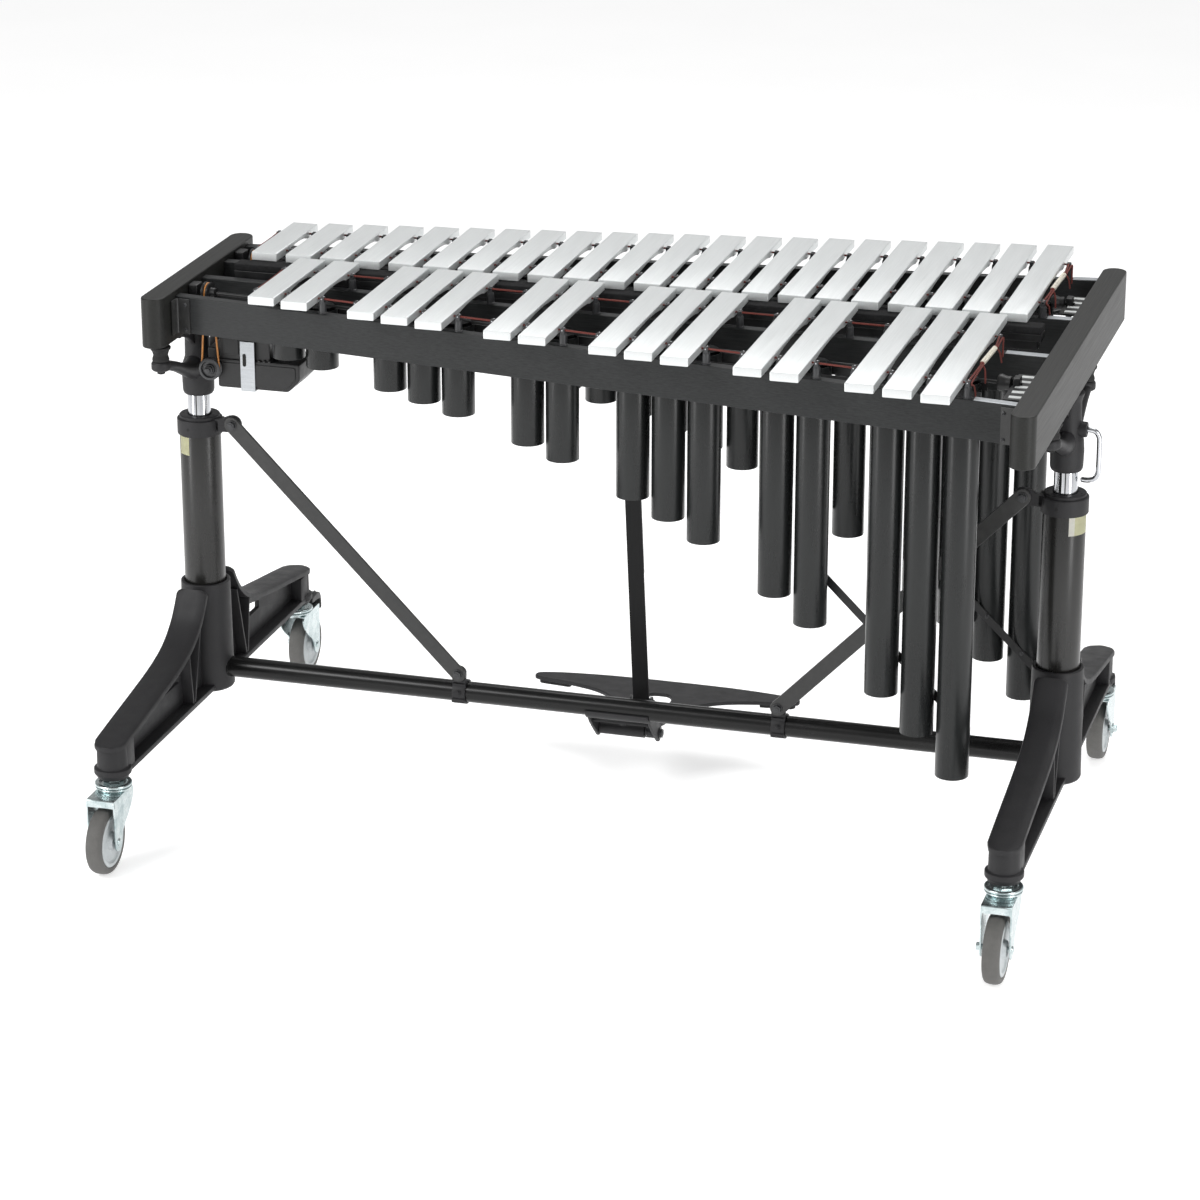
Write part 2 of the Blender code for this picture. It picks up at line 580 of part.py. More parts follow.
def column_bracket(name, x):
    """Socket on the inner tube with two arms that reach the end board."""
    socket = turned_mesh(((0, 0.700), (0.024, 0.700), (0.0255, 0.640), (0.0225, 0.608),
                          (0.0205, BRACKET_BOTTOM), (0, BRACKET_BOTTOM)), (x, 0, 0), sides=12,
                         closed=False)
    adds = []
    for side in (-1, 1):
        points = ((0.010, 0.622), (0.045, 0.634), (0.085, 0.672), (0.152, 0.672),
                  (0.152, 0.680), (0.088, 0.682), (0.060, 0.702), (0.010, 0.702))
        adds.append(plate_mesh([[(side * y, z) for y, z in points]], 0.014, frame_yz(x)))
        pad = rod_mesh((x, side * 0.139, 0.6690), (x, side * 0.139, 0.6830), 0.0140, 8)
        adds.append(pad)
    cuts = [rod_mesh((x, 0, 0.5), (x, 0, INNER_TOP + 0.001), clear(INNER_R, 16), 16)]
    if x > 0:
        cuts.append(rod_mesh((x + 0.0195, 0, LEVER_Z), (x + 0.06, 0, LEVER_Z), 0.0050, 8))
    part(name, "cast_black", socket, adds, cuts, origin=(x, 0, 0.65))


def end_board(name, x, near, far):
    """End board: a stadium in plan, so both its upright edges are round."""
    r = BOARD_HALF
    ring = arc(x, near + r, r, 180, 360, 10) + arc(x, far - r, r, 0, 180, 10)
    mesh = plate_mesh([ring], BOARD_TOP - BOARD_BOTTOM, frame_xy((BOARD_TOP + BOARD_BOTTOM) / 2))
    part(name, "black_board", mesh, origin=(x, 0, BOARD_BOTTOM))


def rail(name, line, post_xs):
    """A straight rail between the end boards, with the cord posts on its top edge."""
    x0 = -COLUMN_X + BOARD_HALF + GAP
    x1 = COLUMN_X - BOARD_HALF - GAP
    ring = [(x0, line(x0) - RAIL_HALF), (x1, line(x1) - RAIL_HALF),
            (x1, line(x1) + RAIL_HALF), (x0, line(x0) + RAIL_HALF)]
    mesh = plate_mesh([ring], RAIL_TOP - RAIL_BOTTOM, frame_xy((RAIL_TOP + RAIL_BOTTOM) / 2))
    posts = []
    for x in post_xs:
        y = line(x)
        posts.append(box_mesh((x - POST_HALF, y - POST_HALF, RAIL_TOP - 0.003),
                              (x + POST_HALF, y + POST_HALF, POST_TOP)))
    part(name, "black_board", mesh, [joined(posts)], origin=(0, line(0), RAIL_BOTTOM),
         smooth=False)


def post_positions():
    gap = (PITCH - BAR_W) / 2
    naturals = [bar_left(step) - gap for step in range(NATURALS + 1)]
    sharps = sorted({round(x, 6) for step in SHARP_STEPS
                     for x in (sharp_left(step) - gap, sharp_left(step) + BAR_W + gap)})
    return naturals, sharps


def bars(name, lefts, ends, steps, cords, cord_x):
    """A run of bars, undercut in the middle, strung on their two cords."""
    meshes = []
    for left, step in zip(lefts, steps):
        y0, y1 = ends(step)
        length = y1 - y0
        half, rise = 0.24 * length, 0.006
        mid = (y0 + y1) / 2
        arch = [(mid - half, BAR_BOTTOM), (mid - 0.55 * half, BAR_BOTTOM + rise),
                (mid + 0.55 * half, BAR_BOTTOM + rise), (mid + half, BAR_BOTTOM)]
        ring = [(y0, BAR_BOTTOM)] + arch + [(y1, BAR_BOTTOM), (y1, BAR_TOP), (y0, BAR_TOP)]
        meshes.append(plate_mesh([ring], BAR_W, frame_yz(left + BAR_W / 2)))
    strings = []
    x0, x1 = cord_x
    for line in cords:
        ring = [(x0, line(x0) - CORD_HALF), (x1, line(x1) - CORD_HALF),
                (x1, line(x1) + CORD_HALF), (x0, line(x0) + CORD_HALF)]
        strings.append(plate_mesh([ring], 2 * CORD_HALF, frame_xy(CORD_Z)))
    part(name, "bar_aluminium", joined(meshes), [joined(strings)],
         origin=(lefts[0], 0, BAR_BOTTOM), smooth=False)


def bar_rows():
    naturals_cords = (natural_inner, natural_outer)
    for word, (a, b) in NATURAL_RUNS.items():
        steps = list(range(a, b))
        lefts = [bar_left(s) for s in steps]
        gap = (PITCH - BAR_W) / 2
        span = (lefts[0] - gap + GAP, lefts[-1] + BAR_W + gap)
        bars("natural_bars_" + word, lefts, natural_ends, steps, naturals_cords, span)
    sharps_cords = (sharp_outer, sharp_inner)
    for word, (a, b) in SHARP_RUNS.items():
        steps = SHARP_STEPS[a:b]
        lefts = [sharp_left(s) for s in steps]
        gap = (PITCH - BAR_W) / 2
        end = lefts[-1] + BAR_W + gap
        if b < len(SHARP_STEPS):
            end = sharp_left(SHARP_STEPS[b]) - gap
        bars("accidental_bars_" + word, lefts, sharp_ends, steps, sharps_cords,
             (lefts[0] - gap + GAP, end))


def tube_length(step, longest, shortest, count):
    """Each resonator is longer than the one before it by a fixed ratio."""
    t = step / count
    return shortest * (longest / shortest) ** t


def resonators(name, xs, line, lengths, strip_side):
    """A bank of resonators: tubes closed at the foot, held by a strip and a lower tie."""
    tubes = []
    for x, length in zip(xs, lengths):
        z = TUBE_TOP - length
        r = TUBE_R
        profile = ((r, TUBE_TOP), (r, z), (0, z), (0, z + 0.003), (r - TUBE_WALL, z + 0.003),
                   (r - TUBE_WALL, TUBE_TOP))
        tubes.append(turned_mesh(profile, (x, line(x), 0), sides=8))
    x0, x1 = xs[0] - 0.028, xs[-1] + 0.028
    slope = (line(x1) - line(x0)) / (x1 - x0)
    off = -strip_side * (TUBE_R * 0.985 + 0.0012)
    ring = [(x0, line(x0) + off - 0.0016), (x1, line(x1) + off - 0.0016),
            (x1, line(x1) + off + 0.0016), (x0, line(x0) + off + 0.0016)]
    strip = plate_mesh([ring], 0.012, frame_xy(TUBE_TOP - 0.012))
    tie = lower_tie(xs, line, lengths, strip_side, atan2(slope, 1))
    part(name, "satin_black", joined(tubes), [strip, tie],
         origin=(0, line(0), TUBE_TOP))


def lower_tie(xs, line, lengths, side, turn):
    """Flat bar that ties the lower ends of the four longest tubes together."""
    off = side * (TUBE_R * 0.985 + 0.0012)
    ends = [(xs[i], TUBE_TOP - lengths[i] + 0.075) for i in (-4, -1)]
    rise = (ends[1][1] - ends[0][1]) / (ends[1][0] - ends[0][0])
    (xa, za), (xb, zb) = ends
    xa, za, xb, zb = xa - 0.02, za - 0.02 * rise, xb + 0.02, zb + 0.02 * rise
    along = 1 / cos(turn)
    ring = [(xa * along, za - 0.008), (xb * along, zb - 0.008),
            (xb * along, zb + 0.008), (xa * along, za + 0.008)]
    frame = Matrix.Translation((0, line(0) + off, 0)) @ Matrix.Rotation(turn, 4, "Z")
    return plate_mesh([ring], 0.0032, frame @ frame_xz(0))


def banks():
    xs = [bar_left(s) + BAR_W / 2 for s in range(NATURALS)]
    lengths = [tube_length(s, 0.600, 0.074, 21) for s in range(NATURALS)]
    resonators("natural_resonators", xs, natural_mid, lengths, -1)
    xs = [sharp_left(s) + BAR_W / 2 for s in SHARP_STEPS]
    lengths = [tube_length(s, 0.573, 0.078, 19) for s in SHARP_STEPS]
    resonators("accidental_resonators", xs, sharp_mid, lengths, 1)


def fan_shaft(name, line, xs, pulley_x):
    """Shaft over a bank, with a flat disc over the mouth of each tube and a belt pulley."""
    x0, x1 = pulley_x - 0.006, 0.610
    start = Vector((x0, line(x0), SHAFT_Z))
    end = Vector((x1, line(x1), SHAFT_Z))
    along = (end - start).normalized()
    shaft = rod_mesh(start, end, SHAFT_R, 4)
    rounds = []
    for x in xs:
        rounds.append(rod_mesh((x, line(x), SHAFT_Z - DISC_HALF), (x, line(x), SHAFT_Z + DISC_HALF),
                               DISC_R, 8))
    centre = Vector((pulley_x, line(pulley_x), SHAFT_Z))
    rounds.append(rod_mesh(centre - along * 0.004, centre + along * 0.004, PULLEY_R, 12))
    part(name, "zinc_plate", shaft, [joined(rounds)], origin=centre)


def motor_drive():
    """Motor housing, its strap, and the shaft with a belt pulley under each fan shaft."""
    ys = (sharp_mid(MOTOR_X), natural_mid(MOTOR_X))
    front, back = ys[0] + 0.008, ys[0] + 0.078
    outline = [(-0.592, 0.624), (-0.484, 0.624), (-0.466, 0.642), (-0.466, 0.667), (-0.592, 0.667)]
    body = plate_mesh([outline], back - front, frame_xz((front + back) / 2))
    gearbox = box_mesh((MOTOR_X - 0.014, -0.036, 0.638), (-0.578, 0.030, 0.677))
    ledge = box_mesh((-0.590, -0.051, 0.660), (-0.512, -0.010, 0.7217))
    bore = rod_mesh((MOTOR_X, -0.05, MOTOR_Z), (MOTOR_X, 0.05, MOTOR_Z), 0.0045, 8)
    part("motor_housing", "black_plastic", body, [gearbox, ledge], [bore],
         origin=(-0.53, front, 0.640), smooth=False)
    lo, hi = front - GAP - 0.0018, back + GAP + 0.0018
    strap = [(lo, 0.6219), (hi, 0.6219), (hi, 0.6660), (hi - 0.0018, 0.6660),
             (hi - 0.0018, 0.6237), (lo + 0.0018, 0.6237), (lo + 0.0018, 0.6930), (lo, 0.6930)]
    strap_mesh = plate_mesh([strap], 0.022, frame_yz(-0.5445))
    slot = box_mesh((-0.5515, lo - 0.01, 0.659), (-0.5465, lo + 0.01, 0.678))
    part("motor_strap", "chrome", strap_mesh, [], [slot], origin=(-0.5445, lo, 0.64),
         smooth=False)
    spindle = rod_mesh((MOTOR_X, ys[0] - 0.014, MOTOR_Z), (MOTOR_X, ys[1] + 0.008, MOTOR_Z),
                       0.0040, 8)
    pulleys = [rod_mesh((MOTOR_X, y - 0.005, MOTOR_Z), (MOTOR_X, y + 0.005, MOTOR_Z),
                        PULLEY_R, 12) for y in ys]
    part("motor_shaft", "black_plastic", spindle, [joined(pulleys)],
         origin=(MOTOR_X, ys[0], MOTOR_Z))


def belt(name, y):
    """Round belt with a quarter turn, from the motor shaft up to a fan shaft's pulley."""
    thick = 0.0013
    r = PULLEY_R + 3 * GAP + thick
    low = [(MOTOR_X + dx, y, MOTOR_Z + dz) for dx, dz in arc(0, 0, r, 180, 360, 6)]
    top = [(MOTOR_X, y + dy, SHAFT_Z + dz) for dy, dz in arc(0, 0, r, 0, 180, 6)]
    curve = wire(low + top, thick, cyclic=True)
    part(name, "drive_belt", sample(curve), origin=(MOTOR_X, y, MOTOR_Z))


def wire(path, radius, cyclic=False):
    """A round wire along straight stretches between the points."""
    curve = bpy.data.curves.new("wire", "CURVE")
    curve.dimensions = "3D"
    curve.bevel_depth = radius
    curve.bevel_resolution = 1 if cyclic else 2
    curve.use_fill_caps = True
    spline = curve.splines.new("POLY")
    spline.points.add(len(path) - 1)
    for point, co in zip(spline.points, path):
        point.co = (*co, 1)
    spline.use_cyclic_u = cyclic
    obj = bpy.data.objects.new("wire", curve)
    CUTTERS.objects.link(obj)
    return obj


def lock_lever():
    """Bent chrome handle of the height clamp, turning in the right bracket's boss."""
    x = COLUMN_X
    path = [(x + 0.0200, 0, LEVER_Z), (x + 0.0330, 0, LEVER_Z), (x + 0.0400, 0, LEVER_Z - 0.003),
            (x + 0.0440, 0, LEVER_Z - 0.010), (x + 0.0450, 0, LEVER_Z - 0.020),
            (x + 0.0450, 0, LEVER_Z - 0.055), (x + 0.0435, 0, LEVER_Z - 0.064),
            (x + 0.0380, 0, LEVER_Z - 0.071), (x + 0.0300, 0, LEVER_Z - 0.073),
            (x + 0.0235, 0, LEVER_Z - 0.073)]
    part("height_lock_lever", "chrome", sample(wire(path, 0.0038)), origin=(x + 0.02, 0, LEVER_Z))


# ---- assembly --------------------------------------------------------------------
def base():
    for word, x in (("left", -COLUMN_X), ("right", COLUMN_X)):
        leg_casting("base_casting_" + word, x)
        column("column_tube_" + word, x)
        collar("column_collar_" + word, x)
        brace("brace_" + word, x)
        brace_clamp("brace_clamp_" + word, CLAMP_X if x > 0 else -CLAMP_X)
    tube_end = COLUMN_X - 0.010 - GAP
    tube = rod_mesh((-tube_end, 0, CROSS_Z), (tube_end, 0, CROSS_Z), CROSS_R, 16)
    part("cross_tube", "gloss_black", tube, origin=(0, 0, CROSS_Z))
    pedal_bracket()
    for x, word in ((-COLUMN_X, "left"), (COLUMN_X, "right")):
        for side, place_word in ((-1, "front"), (1, "rear")):
            caster(place_word + "_" + word, x, side, side > 0)


def upper_frame():
    for word, x in (("left", -COLUMN_X), ("right", COLUMN_X)):
        inner_tube("inner_tube_" + word, x)
        column_bracket("column_bracket_" + word, x)
        end_board("end_board_" + word, *BOARDS[word])
    natural_posts, sharp_posts = post_positions()
    rail("front_rail", sharp_outer, sharp_posts)
    rail("accidental_inner_rail", sharp_inner, sharp_posts)
    rail("natural_inner_rail", natural_inner, natural_posts)
    rail("rear_rail", natural_outer, natural_posts)
    bar_rows()
    banks()
    natural_xs = [bar_left(s) + BAR_W / 2 for s in range(NATURALS)]
    sharp_xs = [sharp_left(s) + BAR_W / 2 for s in SHARP_STEPS]
    fan_shaft("accidental_fan_shaft", sharp_mid, sharp_xs, MOTOR_X)
    fan_shaft("natural_fan_shaft", natural_mid, natural_xs, MOTOR_X)
    motor_drive()
    belt("accidental_fan_belt", sharp_mid(MOTOR_X))
    belt("natural_fan_belt", natural_mid(MOTOR_X))
    lock_lever()


base()
upper_frame()
pedal()
pedal_spring()
pedal_axle()
rod_clevis()
pull_rods()
damper()
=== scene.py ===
"""Looks for the vibraphone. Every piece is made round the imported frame, in metres."""
import math

import bmesh
import bpy
from mathutils import Matrix, Vector


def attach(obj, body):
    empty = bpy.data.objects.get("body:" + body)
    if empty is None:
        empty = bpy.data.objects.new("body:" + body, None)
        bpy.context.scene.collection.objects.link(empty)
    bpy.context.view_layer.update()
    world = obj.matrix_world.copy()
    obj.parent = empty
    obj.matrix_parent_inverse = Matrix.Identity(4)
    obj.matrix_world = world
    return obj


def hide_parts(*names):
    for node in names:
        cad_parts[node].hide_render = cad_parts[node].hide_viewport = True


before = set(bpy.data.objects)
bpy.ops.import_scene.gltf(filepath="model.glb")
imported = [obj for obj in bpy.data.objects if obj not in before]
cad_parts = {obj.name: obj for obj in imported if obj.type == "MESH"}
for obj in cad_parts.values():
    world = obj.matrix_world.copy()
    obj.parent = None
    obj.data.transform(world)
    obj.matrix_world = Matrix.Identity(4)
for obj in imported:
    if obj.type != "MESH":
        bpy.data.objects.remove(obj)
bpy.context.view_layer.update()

# ---- dimensions shared with the CAD -----------------------------------------
COLUMN_X = 0.645
CASTER_Y = 0.374
WHEEL_R = 0.049
WHEEL_OUT = 0.038
BOSS_Z = 0.133
LEG_BOTTOM = 0.138
LEG_TOP = 0.186
CAP = 0.008
CAP_HALF = 0.024
CAP_CORNER = 0.008
CAP_TIP_HALF = 0.005
HUB_TOP = 0.304
COLUMN_R = 0.0305
COLUMN_FOOT = 0.24
COLUMN_TOP = 0.54
COLLAR_BOTTOM = 0.534
COLLAR_TOP = 0.563
INNER_R = 0.0168
INNER_FOOT = 0.27
INNER_TOP = 0.64
CROSS_Z = 0.166
CROSS_R = 0.0155
EAR_X = 0.588
EAR_Z = 0.554
CLAMP_X = 0.243
BOARD_TOP = 0.784
BOARD_BOTTOM = 0.711
BOARD_HALF = 0.0175
BOARDS = {"left": (-COLUMN_X, -0.176, 0.206), "right": (COLUMN_X, -0.372, 0.376)}
RAIL_TOP = 0.776
RAIL_BOTTOM = 0.722
RAIL_HALF = 0.008
BAR_TOP = 0.803
BAR_BOTTOM = 0.791
BAR_W = 0.0393
PITCH = 0.0528
FIRST_X = -0.572
NATURALS = 22
NATURAL_LAST = NATURALS - 1
SHARP_STEPS = (0, 1, 3, 4, 5, 7, 8, 10, 11, 12, 14, 15, 17, 18, 19)
SHARP_LAST = SHARP_STEPS[-1]
NODE = 0.224
CORD_Z = 0.797
CORD_R = 0.0014
POST_R = 0.0055
TUBE_R = 0.0236
TUBE_WALL = 0.0016
TUBE_TOP = 0.764
SHAFT_Z = 0.7675
DISC_R = 0.019
PULLEY_R = 0.013
KNOB_X = 0.587
PEDAL_Y = 0.05
PEDAL_Z = 0.112
PEDAL_TILT = -0.075
ROD_Y = 0.12
ROD_Z = 0.118
ROD_PIN_Z = 0.13
DAMPER_Y = 0.031
ROD_TOP_Z = 0.738
UPPER_OFFSET = -0.0047
ROD_LEAN = math.atan2(ROD_Y - DAMPER_Y, ROD_TOP_Z - ROD_PIN_Z)
MOUNT_Y = 0.139
MOTOR_X = -0.6
MOTOR_Z = 0.653
LEVER_Z = 0.655
LEVER_R = 0.0038
FORK_TOP = 0.1165
HALF_GAP = (PITCH - BAR_W) / 2
NATURAL_RUNS = {"high": (0, 8), "mid": (8, 15), "low": (15, NATURALS)}
SHARP_RUNS = {"high": (0, 5), "mid": (5, 10), "low": (10, 15)}
SIDES = (("left", -1), ("right", 1))


def lerp(a, b, t):
    """Between a and b, at share t."""
    return a + (b - a) * t


def bar_left(step):
    """Left edge of a natural bar."""
    return FIRST_X + step * PITCH


def sharp_left(step):
    """Left edge of an accidental bar, half a step past its natural."""
    return FIRST_X + (step + 1.5) * PITCH


def natural_ends(step):
    t = step / NATURAL_LAST
    return lerp(0.043, 0.035, t), lerp(0.218, 0.409, t)


def sharp_ends(step):
    t = step / SHARP_LAST
    return lerp(-0.18, -0.369, t), lerp(0.031, 0.027, t)


def line_through(ends, left, last, share):
    """Line through the same share of the first and last bars' lengths."""
    x0 = left(0) + BAR_W / 2
    x1 = left(last) + BAR_W / 2
    y0 = lerp(*ends(0), share)
    y1 = lerp(*ends(last), share)
    slope = (y1 - y0) / (x1 - x0)
    return lambda x: y0 + (x - x0) * slope


natural_inner = line_through(natural_ends, bar_left, NATURAL_LAST, NODE)
natural_outer = line_through(natural_ends, bar_left, NATURAL_LAST, 1 - NODE)
natural_mid = line_through(natural_ends, bar_left, NATURAL_LAST, 0.5)
sharp_outer = line_through(sharp_ends, sharp_left, SHARP_LAST, NODE)
sharp_inner = line_through(sharp_ends, sharp_left, SHARP_LAST, 1 - NODE)
sharp_mid = line_through(sharp_ends, sharp_left, SHARP_LAST, 0.5)

# ---- materials ----------------------------------------------------------------
MATERIALS = {}


def mapped(tree, scale, turn=(0, 0, 0)):
    """Object coordinates in metres, stretched by the scale."""
    where = tree.nodes.new("ShaderNodeTexCoord")
    mapping = tree.nodes.new("ShaderNodeMapping")
    mapping.inputs["Scale"].default_value = scale
    mapping.inputs["Rotation"].default_value = turn
    tree.links.new(where.outputs["Object"], mapping.inputs["Vector"])
    return mapping.outputs["Vector"]


def noise(tree, scale, detail=4.0, roughness=0.6):
    """Noise in object space."""
    node = tree.nodes.new("ShaderNodeTexNoise")
    node.inputs["Scale"].default_value = 1.0
    node.inputs["Detail"].default_value = detail
    node.inputs["Roughness"].default_value = roughness
    tree.links.new(mapped(tree, scale), node.inputs["Vector"])
    return node.outputs["Fac"]


def ramp(tree, value, stops):
    """A colour from a value, through (position, colour) stops."""
    node = tree.nodes.new("ShaderNodeValToRGB")
    band = node.color_ramp
    for i, (where, colour) in enumerate(stops):
        stop = band.elements[i] if i < 2 else band.elements.new(where)
        stop.position = where
        stop.color = (*colour, 1)
    tree.links.new(value, node.inputs["Fac"])
    return node.outputs["Color"]


def levels(tree, value, low, high):
    """The middle of a noise, stretched from low to high."""
    node = tree.nodes.new("ShaderNodeMapRange")
    node.inputs["From Min"].default_value = 0.3
    node.inputs["From Max"].default_value = 0.7
    node.inputs["To Min"].default_value = low
    node.inputs["To Max"].default_value = high
    tree.links.new(value, node.inputs["Value"])
    return node.outputs["Result"]


def added(tree, a, b, share):
    """A blend of two values."""
    node = tree.nodes.new("ShaderNodeMix")
    node.inputs["Factor"].default_value = share
    tree.links.new(a, node.inputs["A"])
    tree.links.new(b, node.inputs["B"])
    return node.outputs["Result"]


def surface(name, dark, light, rough, metallic=0.0, grain_and_painted_reflection=(60, 60, 60), speck=900, bump=0.1,
            depth=0.0002, share=0.5, gloss=0.5):
    """Broad streaks along the grain and a fine speck, in colour, gloss and relief. On the chrome
    the colour streaks are painted reflection, on the zinc partly so.
    """
    mat = bpy.data.materials.new(name)
    mat.use_nodes = True
    tree = mat.node_tree
    shader = tree.nodes["Principled BSDF"]
    shader.inputs["Metallic"].default_value = metallic
    shader.inputs["Specular IOR Level"].default_value = gloss
    broad = noise(tree, grain_and_painted_reflection)
    fine = noise(tree, (speck, speck, speck), 2.0)
    both = added(tree, broad, fine, share)
    colour = ramp(tree, both, ((0.34, dark), (0.66, light)))
    tree.links.new(colour, shader.inputs["Base Color"])
    tree.links.new(levels(tree, broad, *rough), shader.inputs["Roughness"])
    relief = tree.nodes.new("ShaderNodeBump")
    relief.inputs["Strength"].default_value = bump
    relief.inputs["Distance"].default_value = depth
    tree.links.new(both, relief.inputs["Height"])
    tree.links.new(relief.outputs["Normal"], shader.inputs["Normal"])
    MATERIALS[name] = mat
    return mat


def striped(name, dark, light, rough, scale, metallic=0.0, bump=0.4, depth=0.0004):
    """A braid or wound wire: slanting bands across fine noise."""
    mat = surface(name, dark, light, rough, metallic)
    tree = mat.node_tree
    shader = tree.nodes["Principled BSDF"]
    wave = tree.nodes.new("ShaderNodeTexWave")
    wave.bands_direction = "DIAGONAL"
    wave.inputs["Scale"].default_value = 1.0
    wave.inputs["Distortion"].default_value = 1.5
    tree.links.new(mapped(tree, (scale, scale, scale)), wave.inputs["Vector"])
    colour = ramp(tree, wave.outputs["Fac"], ((0.2, dark), (0.8, light)))
    tree.links.new(colour, shader.inputs["Base Color"])
    relief = tree.nodes.new("ShaderNodeBump")
    relief.inputs["Strength"].default_value = bump
    relief.inputs["Distance"].default_value = depth
    tree.links.new(wave.outputs["Fac"], relief.inputs["Height"])
    tree.links.new(relief.outputs["Normal"], shader.inputs["Normal"])


surface("bar_metal", (0.7, 0.72, 0.72), (0.82, 0.84, 0.84), (0.36, 0.46), 0.72,
        grain_and_painted_reflection=(900, 14, 900), speck=2600, bump=0.1, depth=0.0001, share=0.45)
surface("board_black", (0.008, 0.0082, 0.0074), (0.018, 0.0182, 0.0167), (0.38, 0.5),
        grain_and_painted_reflection=(700, 9, 700), speck=1500, bump=0.12, share=0.3, gloss=0.28)
surface("rail_black", (0.01, 0.0107, 0.0111), (0.025, 0.0263, 0.0268), (0.36, 0.5),
        grain_and_painted_reflection=(9, 700, 700), speck=1500, bump=0.12, share=0.3, gloss=0.28)
surface("cast_black", (0.01, 0.0098, 0.0108), (0.021, 0.0205, 0.0222), (0.46, 0.6),
        grain_and_painted_reflection=(40, 40, 40), speck=1500, bump=0.28, depth=0.0003, share=0.7, gloss=0.34)
surface("column_black", (0.009, 0.0088, 0.0082), (0.013, 0.0126, 0.0118), (0.26, 0.29),
        grain_and_painted_reflection=(40, 40, 8), speck=1400, bump=0.015, share=0.5, gloss=0.5)
surface("cross_black", (0.005, 0.005, 0.005), (0.01, 0.01, 0.01), (0.22, 0.28),
        grain_and_painted_reflection=(12, 60, 60), speck=1400, bump=0.04, share=0.5, gloss=0.3)
# brace black: a lighter copy of the cast black, the lightness a painted sheen; the corner plates
# take it too
surface("brace_black_painted_sheen", (0.018, 0.018, 0.0178), (0.034, 0.034, 0.0335), (0.32, 0.44),
        grain_and_painted_reflection=(60, 60, 60), speck=1300, bump=0.1)
surface("flat_black", (0.008, 0.008, 0.0084), (0.019, 0.019, 0.0195), (0.34, 0.48),
        grain_and_painted_reflection=(90, 90, 30), speck=1300, bump=0.12, gloss=0.4)
surface("rod_black", (0.005, 0.005, 0.0053), (0.01, 0.01, 0.0104), (0.45, 0.6),
        grain_and_painted_reflection=(90, 90, 30), speck=1300, bump=0.12, gloss=0.2)
surface("tube_black", (0.007, 0.0077, 0.0077), (0.013, 0.0142, 0.0144), (0.25, 0.31),
        grain_and_painted_reflection=(50, 50, 9), speck=1600, bump=0.04, share=0.5, gloss=0.38)
# chrome: its vertical dark and light colour streaks are painted reflection
surface("chrome", (0.42, 0.43, 0.45), (0.68, 0.69, 0.71), (0.06, 0.14), 1.0,
        grain_and_painted_reflection=(170, 170, 8), speck=900, bump=0.02, share=0.2)
# zinc: the blue-grey tint is the plating's own, its darker blotches in colour are painted
# reflection
surface("zinc_plate", (0.36, 0.45, 0.46), (0.7, 0.76, 0.76), (0.15, 0.3), 1.0,
        grain_and_painted_reflection=(60, 60, 60), speck=400, bump=0.08, share=0.3)
surface("tyre_grey", (0.08, 0.078, 0.074), (0.122, 0.119, 0.113), (0.55, 0.7),
        grain_and_painted_reflection=(70, 70, 70), speck=1100, bump=0.2, depth=0.0003)
surface("hub_grey", (0.4, 0.43, 0.44), (0.56, 0.59, 0.6), (0.35, 0.5),
        grain_and_painted_reflection=(80, 80, 80), speck=900, bump=0.08)
surface("slot_white", (0.62, 0.64, 0.63), (0.78, 0.8, 0.79), (0.45, 0.6),
        grain_and_painted_reflection=(80, 80, 80), speck=900, bump=0.08)
surface("belt_orange", (0.36, 0.13, 0.025), (0.56, 0.24, 0.055), (0.38, 0.55),
        grain_and_painted_reflection=(200, 200, 60), speck=1000, bump=0.1)
surface("plastic_black", (0.006, 0.006, 0.0064), (0.016, 0.016, 0.0165), (0.34, 0.5),
        grain_and_painted_reflection=(70, 70, 70), speck=1500, bump=0.22, gloss=0.45)
# dark grey: the posts' own colour; the black screws and bolts take it too, lightened past their
# black as painted light
surface("post_grey_and_painted_light", (0.02, 0.0205, 0.022), (0.045, 0.046, 0.049), (0.28, 0.42),
        grain_and_painted_reflection=(120, 120, 40), speck=1300, bump=0.1)
surface("felt_black", (0.007, 0.007, 0.0074), (0.026, 0.026, 0.027), (0.9, 1.0),
        grain_and_painted_reflection=(260, 260, 260), speck=1900, bump=0.9, depth=0.0008, share=0.6, gloss=0.2)
# rubber black: the own colour of the pads and mounts; on the collar holes and the slots it is
# painted shade
surface("rubber_black", (0.007, 0.007, 0.007), (0.016, 0.016, 0.016), (0.6, 0.78),
        grain_and_painted_reflection=(90, 90, 90), speck=1100, bump=0.2, gloss=0.35)
surface("trim_silver", (0.38, 0.4, 0.42), (0.54, 0.56, 0.58), (0.34, 0.46), 0.7,
        grain_and_painted_reflection=(14, 600, 600), speck=1400, bump=0.1)
surface("label_blank", (0.64, 0.63, 0.4), (0.74, 0.73, 0.5), (0.35, 0.48),
        grain_and_painted_reflection=(160, 160, 160), speck=900, bump=0.05)
surface("label_white", (0.76, 0.75, 0.68), (0.86, 0.85, 0.78), (0.35, 0.48),
        grain_and_painted_reflection=(160, 160, 160), speck=900, bump=0.05)
striped("cord_red", (0.06, 0.01, 0.008), (0.22, 0.042, 0.03), (0.75, 0.9), 1100)
surface("spring_cream", (0.55, 0.5, 0.4), (0.86, 0.83, 0.74), (0.25, 0.4), 0.5,
        grain_and_painted_reflection=(300, 300, 300), speck=900, bump=0.08)

# ---- mesh tools ---------------------------------------------------------------
SMOOTH_ANGLE = 0.36
ROUND = 1.2


def mesh_of(bm):
    """A mesh with its faces turned outwards."""
    bmesh.ops.recalc_face_normals(bm, faces=bm.faces)
    mesh = bpy.data.meshes.new("shape")
    bm.to_mesh(mesh)
    bm.free()
    return mesh


